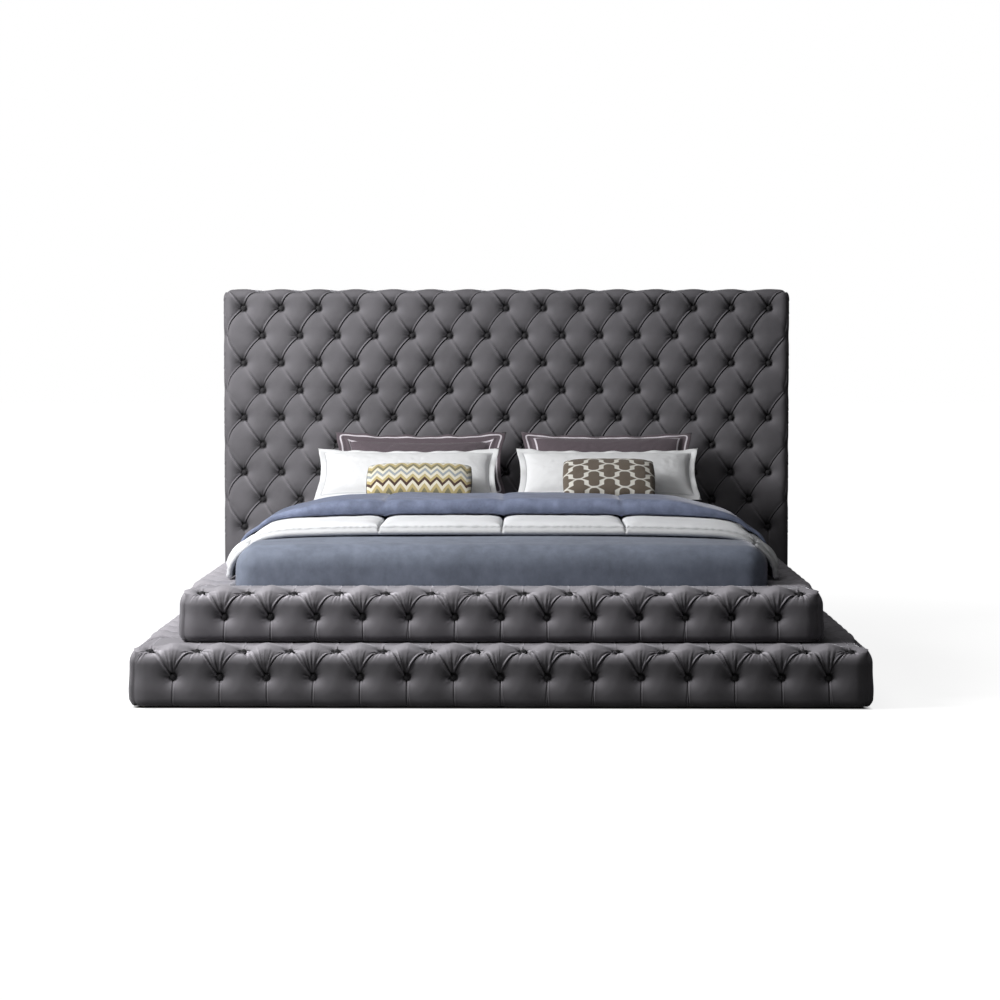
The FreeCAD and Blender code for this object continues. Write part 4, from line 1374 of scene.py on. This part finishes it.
def velvet(name, colour, sheen, lift=0.0, crush=0.0):
    """Short pile: brushed patches of slightly different tone and a soft sheen.

    lift is how much lighter the tufted pieces are painted where they face up, a painted top light, and
    crush how strong the drawn-out patches of the bed covers are.
    """
    shader = Shader(name, colour, 0.78, sheen, 0.34, (0.95, 0.94, 1.0))
    patches = shader.span(shader.noise(5.0, 3.0), 0.3, 0.7)
    tone = shader.shades(patches, colour, 0.88, 1.14)
    streaks = shader.span(shader.noise(38.0, 5.0, 0.65), 0.35, 0.65)
    tone = shader.mix(shader.math("MULTIPLY", streaks, 0.3), tone, scaled(colour, 1.28))
    if lift:
        tone = painted_pile_light(shader, colour, tone, lift)
    if crush:
        stretched = shader.node("Mapping", {"Scale": (2.0, 2.6, 1.5), "Vector": shader.place})
        # drawn-out patches of crushed pile, a tone of the cloth itself
        brushed = shader.span(shader.noise(11.0, 6.0, 0.62, stretched), 0.36, 0.66)
        tone = shader.times(tone, shader.span(brushed, 0, 1, 1 - crush, 1 + crush))
    shader.set("Base Color", tone)
    shader.set("Roughness", shader.span(streaks, 0, 1, 0.70, 0.86))
    shader.bump(shader.noise(260.0, 3.0, 0.7), 0.0008, 0.55)
    return shader.bump(shader.noise(1500.0, 2.0), 0.0003, 0.6)


def cotton(name, colour, weave=150.0, stitched=False):
    """Plain woven cloth: crossing threads, faint creases and a little unevenness of tone."""
    shader = Shader(name, colour, 0.85, 0.15, 0.5)
    tone = shader.shades(shader.span(shader.noise(7.0, 4.0), 0.3, 0.7), colour, 0.95, 1.02)
    # painted shade on the comforter's seams and border band, read from its stored values
    if stitched:
        tone = shader.times(tone, shader.span(shader.value_of("stitched"), 0.0, 1.0, 1.0, 0.45))
    shader.set("Base Color", tone)
    threads = shader.math("ADD", shader.wave(weave, "X"), shader.wave(weave, "Y"))
    shader.bump(shader.math("ADD", threads, shader.wave(weave, "Z")), 0.0003, 0.5)
    return shader.bump(shader.noise(22.0, 4.0, 0.6), 0.003, 0.35)


def sewn_cover(name, colour, weave):
    """A shader for a pillow case: woven thread along the cloth's own directions, and its two positions."""
    shader = Shader(name, colour, 0.85, 0.15, 0.5)
    x = shader.value_of("cloth_x")
    y = shader.value_of("cloth_y")
    place = shader.node("CombineXYZ", {"X": x, "Y": y})
    threads = shader.math("ADD", shader.wave(weave, "X", place=place), shader.wave(weave, "Y", place=place))
    shader.bump(threads, 0.0004, 0.5)
    shader.bump(shader.noise(16.0, 4.0, 0.6, place), 0.004, 0.4)
    return shader, x, y, threads


def side_gap(shader, value, size):
    """Distance in from the edges at both ends of a size."""
    return shader.math("SUBTRACT", size / 2, shader.math("ABSOLUTE", value))


def edge_gap(shader, x, y, case):
    """Distance in from the stitched edge of a case; below 0 on its flange."""
    return shader.math("MINIMUM", side_gap(shader, x, case.width), side_gap(shader, y, case.height))


def sham_cloth(name, case):
    """Mauve sateen with two fine pale stripes running round inside the edge."""
    shader, x, y, threads = sewn_cover(name, MAUVE, 150.0)
    gap = edge_gap(shader, x, y, case)
    tone = shader.shades(shader.span(threads, 0.2, 1.8), MAUVE, 0.85, 1.15)
    for middle in (-0.014, 0.020):
        tone = shader.mix(shader.line_at(gap, middle, 0.0034), tone, (0.66, 0.62, 0.66))
    shader.set("Base Color", tone)
    return shader.set("Roughness", shader.span(threads, 0.2, 1.8, 0.55, 0.75))


def pillow_cotton(name, case):
    """White percale with a stitched line inside its flange."""
    shader, x, y, _ = sewn_cover(name, PERCALE, 170.0)
    gap = edge_gap(shader, x, y, case)
    tone = shader.shades(shader.span(shader.noise(6.0, 4.0), 0.3, 0.7), PERCALE, 0.95, 1.02)
    seam = shader.line_at(gap, 0.001, 0.0014)
    tone = shader.mix(shader.math("MULTIPLY", seam, 0.6), tone, (0.50, 0.51, 0.53))
    shader.set("Base Color", tone)
    return shader.bump(shader.math("MULTIPLY", seam, -1.0), 0.002, 0.6)


def chevron_weave(name, case):
    """Zigzag bands of cream, straw, olive, slate and brown, with a dark piped edge."""
    shader, x, y, threads = sewn_cover(name, CREAM, 190.0)
    zigzag = shader.math("PINGPONG", x, CHEVRON_WIDE)
    level = shader.math("SUBTRACT", y, shader.math("MULTIPLY", zigzag, CHEVRON_TALL / CHEVRON_WIDE))
    share = shader.math("FRACT", shader.math("DIVIDE", level, CHEVRON_BAND * len(CHEVRON_COLOURS)))
    tone = shader.bands(share, CHEVRON_COLOURS)
    tone = shader.times(tone, shader.span(threads, 0.0, 2.0, 0.88, 1.08))
    piping = shader.line_at(side_gap(shader, x, case.width), 0.0, 0.006)
    return shader.set("Base Color", shader.mix(piping, tone, (0.05, 0.05, 0.06)))


def lobes(shader, x, y, shift):
    """Gap outside the nearest cell of a lattice moved by shift cells, as a share of the cell; below 0 inside.

    A cell is a tall round-ended lobe crossed by a pointed one.
    """
    folded = []
    for value, pitch in ((x, LATTICE), (y, LATTICE * LATTICE_SQUASH)):
        cell = shader.math("FRACT", shader.math("ADD", shader.math("DIVIDE", value, pitch), 8 + shift))
        folded.append(shader.math("ABSOLUTE", shader.math("SUBTRACT", cell, 0.5)))
    across, along = folded
    squares = []
    for value, half in ((across, LOBE_HALVES[0]), (along, LOBE_HALVES[1])):
        past = shader.math("MAXIMUM", shader.math("SUBTRACT", value, half), 0.0)
        squares.append(shader.math("POWER", past, 2.0))
    tall = shader.math("SUBTRACT", shader.math("SQRT", shader.math("ADD", *squares)), LOBE_RADIUS)
    shares = (shader.math("DIVIDE", across, LOBE_WIDE), shader.math("DIVIDE", along, LOBE_TALL))
    wide = shader.math("ADD", *shares)
    slope = math.hypot(1 / LOBE_WIDE, 1 / LOBE_TALL)
    pointed = shader.math("DIVIDE", shader.math("SUBTRACT", wide, 1.0), slope)
    return shader.math("MINIMUM", tall, pointed)


def lattice_weave(name, case):
    """Taupe four-lobed cells divided by an off-white embroidered lattice."""
    shader, x, y, threads = sewn_cover(name, TAUPE, 190.0)
    gap = shader.math("MINIMUM", lobes(shader, x, y, 0.0), lobes(shader, x, y, 0.5))
    line = shader.span(gap, -0.008, 0.008)
    weave = shader.span(threads, 0.0, 2.0, 0.85, 1.12)
    shader.set("Base Color", shader.times(shader.mix(line, TAUPE, (0.70, 0.68, 0.62)), weave))
    return shader.bump(line, 0.0012, 0.8)


def timber(name, colour, across="X"):
    """Sawn pine or birch: long grain bands, fine fibres and the odd darker streak."""
    shader = Shader(name, colour, 0.6)
    rings = shader.wave(9.0, across, 9.0, 1.6)
    fibres = shader.noise(120.0, 5.0, 0.6)
    tone = shader.shades(shader.span(rings, 0.1, 0.9), colour, 0.72, 1.06)
    tone = shader.mix(shader.math("MULTIPLY", shader.span(fibres, 0.4, 0.7), 0.35), tone, scaled(colour, 0.6))
    shader.set("Base Color", tone)
    shader.set("Roughness", shader.span(fibres, 0.3, 0.7, 0.5, 0.75))
    return shader.bump(fibres, 0.0005, 0.5)


def metal(name, colour, roughness):
    """Plated steel: slightly cloudy, with fine rolling marks."""
    shader = Shader(name, colour, roughness)
    shader.out.inputs["Metallic"].default_value = 1.0
    shader.set("Base Color", shader.shades(shader.noise(45.0, 4.0), colour, 0.82, 1.1))
    shader.set("Roughness", shader.span(shader.noise(300.0, 3.0), 0.3, 0.7, roughness * 0.8, roughness * 1.3))
    return shader.bump(shader.noise(500.0, 2.0), 0.0002, 0.4)


def foam(name, colour):
    """Cut polyurethane foam with open cells."""
    shader = Shader(name, colour, 0.95)
    cells = shader.cells(420.0)
    shader.set("Base Color", shader.shades(shader.span(cells, 0.0, 0.6), colour, 0.8, 1.05))
    return shader.bump(cells, 0.0012, 0.7)


def moulded(name, colour):
    """Black plastic with a fine moulded grain."""
    shader = Shader(name, colour, 0.45)
    grain = shader.noise(700.0, 3.0)
    shader.set("Base Color", shader.shades(grain, colour, 0.85, 1.2))
    shader.set("Roughness", shader.span(grain, 0.3, 0.7, 0.4, 0.6))
    return shader.bump(grain, 0.0002, 0.5)


def dust_cloth(name):
    """Black spunbonded cloth with its embossed dots."""
    shader = Shader(name, BLACK_CLOTH, 0.9)
    dots = shader.cells(330.0)
    shader.set("Base Color", shader.shades(shader.span(dots, 0.1, 0.5), BLACK_CLOTH, 1.5, 0.8))
    return shader.bump(dots, 0.0006, 0.6)


def assign(obj, material):
    """Gives the object the one material."""
    obj.data.materials.clear()
    obj.data.materials.append(material)


GREY = (0.116, 0.111, 0.120)
COVERLET_BLUE = (0.176, 0.200, 0.256)
THROW_BLUE = (0.172, 0.200, 0.292)
WHITE_COTTON = (0.80, 0.81, 0.83)
TICKING = (0.78, 0.76, 0.72)
PERCALE = (0.77, 0.775, 0.785)
MAUVE = (0.108, 0.084, 0.098)
TAUPE = (0.135, 0.108, 0.083)
BLACK_CLOTH = (0.040, 0.040, 0.044)
CREAM = (0.72, 0.68, 0.56)
STRAW = (0.50, 0.41, 0.20)
OLIVE = (0.22, 0.20, 0.12)
SLATE = (0.33, 0.36, 0.38)
BROWN = (0.075, 0.040, 0.030)
CHEVRON_COLOURS = (CREAM, OLIVE, STRAW, CREAM, SLATE, CREAM, OLIVE, STRAW, CREAM, BROWN, STRAW, CREAM, SLATE)
CHEVRON_WIDE = 0.0255  # half a zigzag
CHEVRON_TALL = 0.033
CHEVRON_BAND = 0.0185
LATTICE = 0.130  # between four-lobed cells of one row
LATTICE_SQUASH = 0.70  # height of a cell as a share of its width
LOBE_HALVES = (0.022, 0.300)  # sizes as shares of the cell: the straight parts of the tall lobe
LOBE_RADIUS = 0.155
LOBE_WIDE = 0.385
LOBE_TALL = 0.255


def base_materials(covers, cloth):
    """Velvet for the covers, and a finish for every CAD node that is seen as it is."""
    pile = {
        "headboard": velvet("headboard_velvet", GREY, 0.5, 1.2),
        # the tiers get lit and shaded copies of the headboard velvet: the upper painted lighter, the lower
        # painted darker, both with a stronger painted top light
        "upper": velvet("upper_velvet", scaled(GREY, 1.16), 0.55, 2.3),
        "lower": velvet("lower_velvet", scaled(GREY, 0.84), 0.55, 3.0),
    }
    for cover in covers:
        assign(cover, pile[cover.name.split("_")[-1]])
    assign(cloth, dust_cloth("stapled_cloth"))
    finishes = {
        "pine": timber("pine", (0.62, 0.44, 0.26)),
        "slat_birch": timber("slat_birch", (0.74, 0.58, 0.38), "Y"),
        "plywood": timber("plywood", (0.60, 0.45, 0.28), "Z"),
        "foam": foam("foam", (0.80, 0.72, 0.50)),
        "bracket_steel": metal("bracket_steel", (0.52, 0.53, 0.55), 0.38),
        "screw_steel": metal("screw_steel", (0.70, 0.70, 0.72), 0.25),
        "glide_plastic": moulded("glide_plastic", (0.02, 0.02, 0.022)),
        "dust_cloth": dust_cloth("dust_cloth"),
        # the buttons are painted far darker than the covers, as painted shade for the pits they sit in
        "grey_velvet": velvet("button_velvet", scaled(GREY, 0.19), 0.13),
    }
    for entry in frame["record"]["subparts"]:
        if entry["material_slot"] in finishes:
            assign(frame["nodes"][entry["node"]], finishes[entry["material_slot"]])


def make_bedding():
    """The mattress and all that lies on it, with its materials."""
    assign(mattress(), cotton("ticking", TICKING, 100.0))
    assign(coverlet(), velvet("blue_velvet", COVERLET_BLUE, 0.4, crush=0.12))
    assign(comforter(), cotton("white_cotton", WHITE_COTTON, stitched=True))
    assign(blanket(), velvet("blue_blanket", THROW_BLUE, 0.32, crush=0.20))
    cloths = {
        "striped_sateen": sham_cloth,
        "pillow_cotton": pillow_cotton,
        "chevron_weave": chevron_weave,
        "lattice_weave": lattice_weave,
    }
    for obj, case in pillows():
        assign(obj, cloths[case.slot](f"{obj.name}_cloth", case))


# ---------------------------------------------------------------- camera, light and floor


def stand_object(name, data, place, turn):
    """Adds a camera or a light to the scene."""
    obj = bpy.data.objects.new(name, data)
    obj.location = place
    obj.rotation_euler = turn
    bpy.context.scene.collection.objects.link(obj)
    return obj


def camera():
    """Level with the middle of the headboard, looking a little down and left, at a long focal length."""
    data = bpy.data.cameras.new("camera")
    data.sensor_width = 36
    data.lens = 95.75
    data.clip_end = 200
    data.dof.use_dof = False
    turn = (math.radians(90 - 3.09), 0, math.radians(0.605))
    bpy.context.scene.camera = stand_object("camera", data, (0.0975, -10.625, 1.247), turn)


LIGHTS = (  # name, place, aim, size and power
    ("key", (-3.1, -2.1, 2.75), (0.2, 0.9, 0.8), (1.5, 1.5), 160),
    ("side", (-2.6, -0.4, 2.3), (-0.4, 1.1, 0.9), (1.0, 1.0), 47),
    ("top", (-0.2, -1.4, 3.4), (-0.1, -1.0, 0.3), (2.4, 1.2), 22),
)
FILL = 0.02  # strength of the surroundings as a light


def lights():
    for name, place, aim, size, power in LIGHTS:
        data = bpy.data.lights.new(name, "AREA")
        data.shape = "RECTANGLE"
        data.size, data.size_y = size
        data.energy = power
        turn = (Vector(aim) - Vector(place)).to_track_quat("-Z", "Y").to_euler()
        stand_object(name, data, place, turn)


def surroundings():
    """A white world for the camera that lights the bed only faintly."""
    world = bpy.data.worlds.new("studio")
    world.use_nodes = True
    nodes = world.node_tree.nodes
    links = world.node_tree.links
    dim = nodes["Background"]
    white = nodes.new("ShaderNodeBackground")
    for shade, strength in ((dim, FILL), (white, 1.0)):
        shade.inputs["Color"].default_value = (1, 1, 1, 1)
        shade.inputs["Strength"].default_value = strength
    path = nodes.new("ShaderNodeLightPath")
    mix = nodes.new("ShaderNodeMixShader")
    links.new(path.outputs["Is Camera Ray"], mix.inputs[0])
    links.new(dim.outputs[0], mix.inputs[1])
    links.new(white.outputs[0], mix.inputs[2])
    links.new(mix.outputs[0], nodes["World Output"].inputs["Surface"])
    bpy.context.scene.world = world
    bpy.context.scene.view_settings.view_transform = "Standard"


def outside_bed(shader):
    """0 on the floor under the bed and 1 outside its footprint."""
    position = shader.split(shader.place)
    gaps = [
        shader.math("SUBTRACT", shader.math("ABSOLUTE", position[axis]), reach)
        for axis, reach in zip("XY", CAD_BOX[1])
    ]
    return shader.span(shader.math("MAXIMUM", *gaps), -0.030, 0.0)


def floor():
    """A pale seamless floor: it glows evenly for the camera, so that only the bed's own shadow stays."""
    size = 60
    corners = [(-size, -size, 0), (size, -size, 0), (size, size, 0), (-size, size, 0)]
    obj = mesh_from("studio_floor", corners, [(0, 1, 2, 3)], False)
    shader = Shader("studio_floor", (0.4, 0.4, 0.4), 0.9)
    shader.set("Base Color", shader.mix(shader.noise(0.6), (0.39, 0.39, 0.39), (0.41, 0.41, 0.41)))
    away = shader.node("VectorMath", {0: shader.place}, "Value", operation="LENGTH")
    glow = shader.span(away, 1.6, 4.0, 0.86, 1.0)
    seen = shader.node("LightPath", {}, "Is Camera Ray")
    glow = shader.math("MULTIPLY", shader.math("MULTIPLY", glow, seen), outside_bed(shader))
    shader.out.inputs["Emission Color"].default_value = (1, 1, 1, 1)
    assign(obj, shader.set("Emission Strength", glow))


# ---------------------------------------------------------------- build


base_materials(base_covers(), back_cloth())
make_bedding()
camera()
lights()
surroundings()
floor()
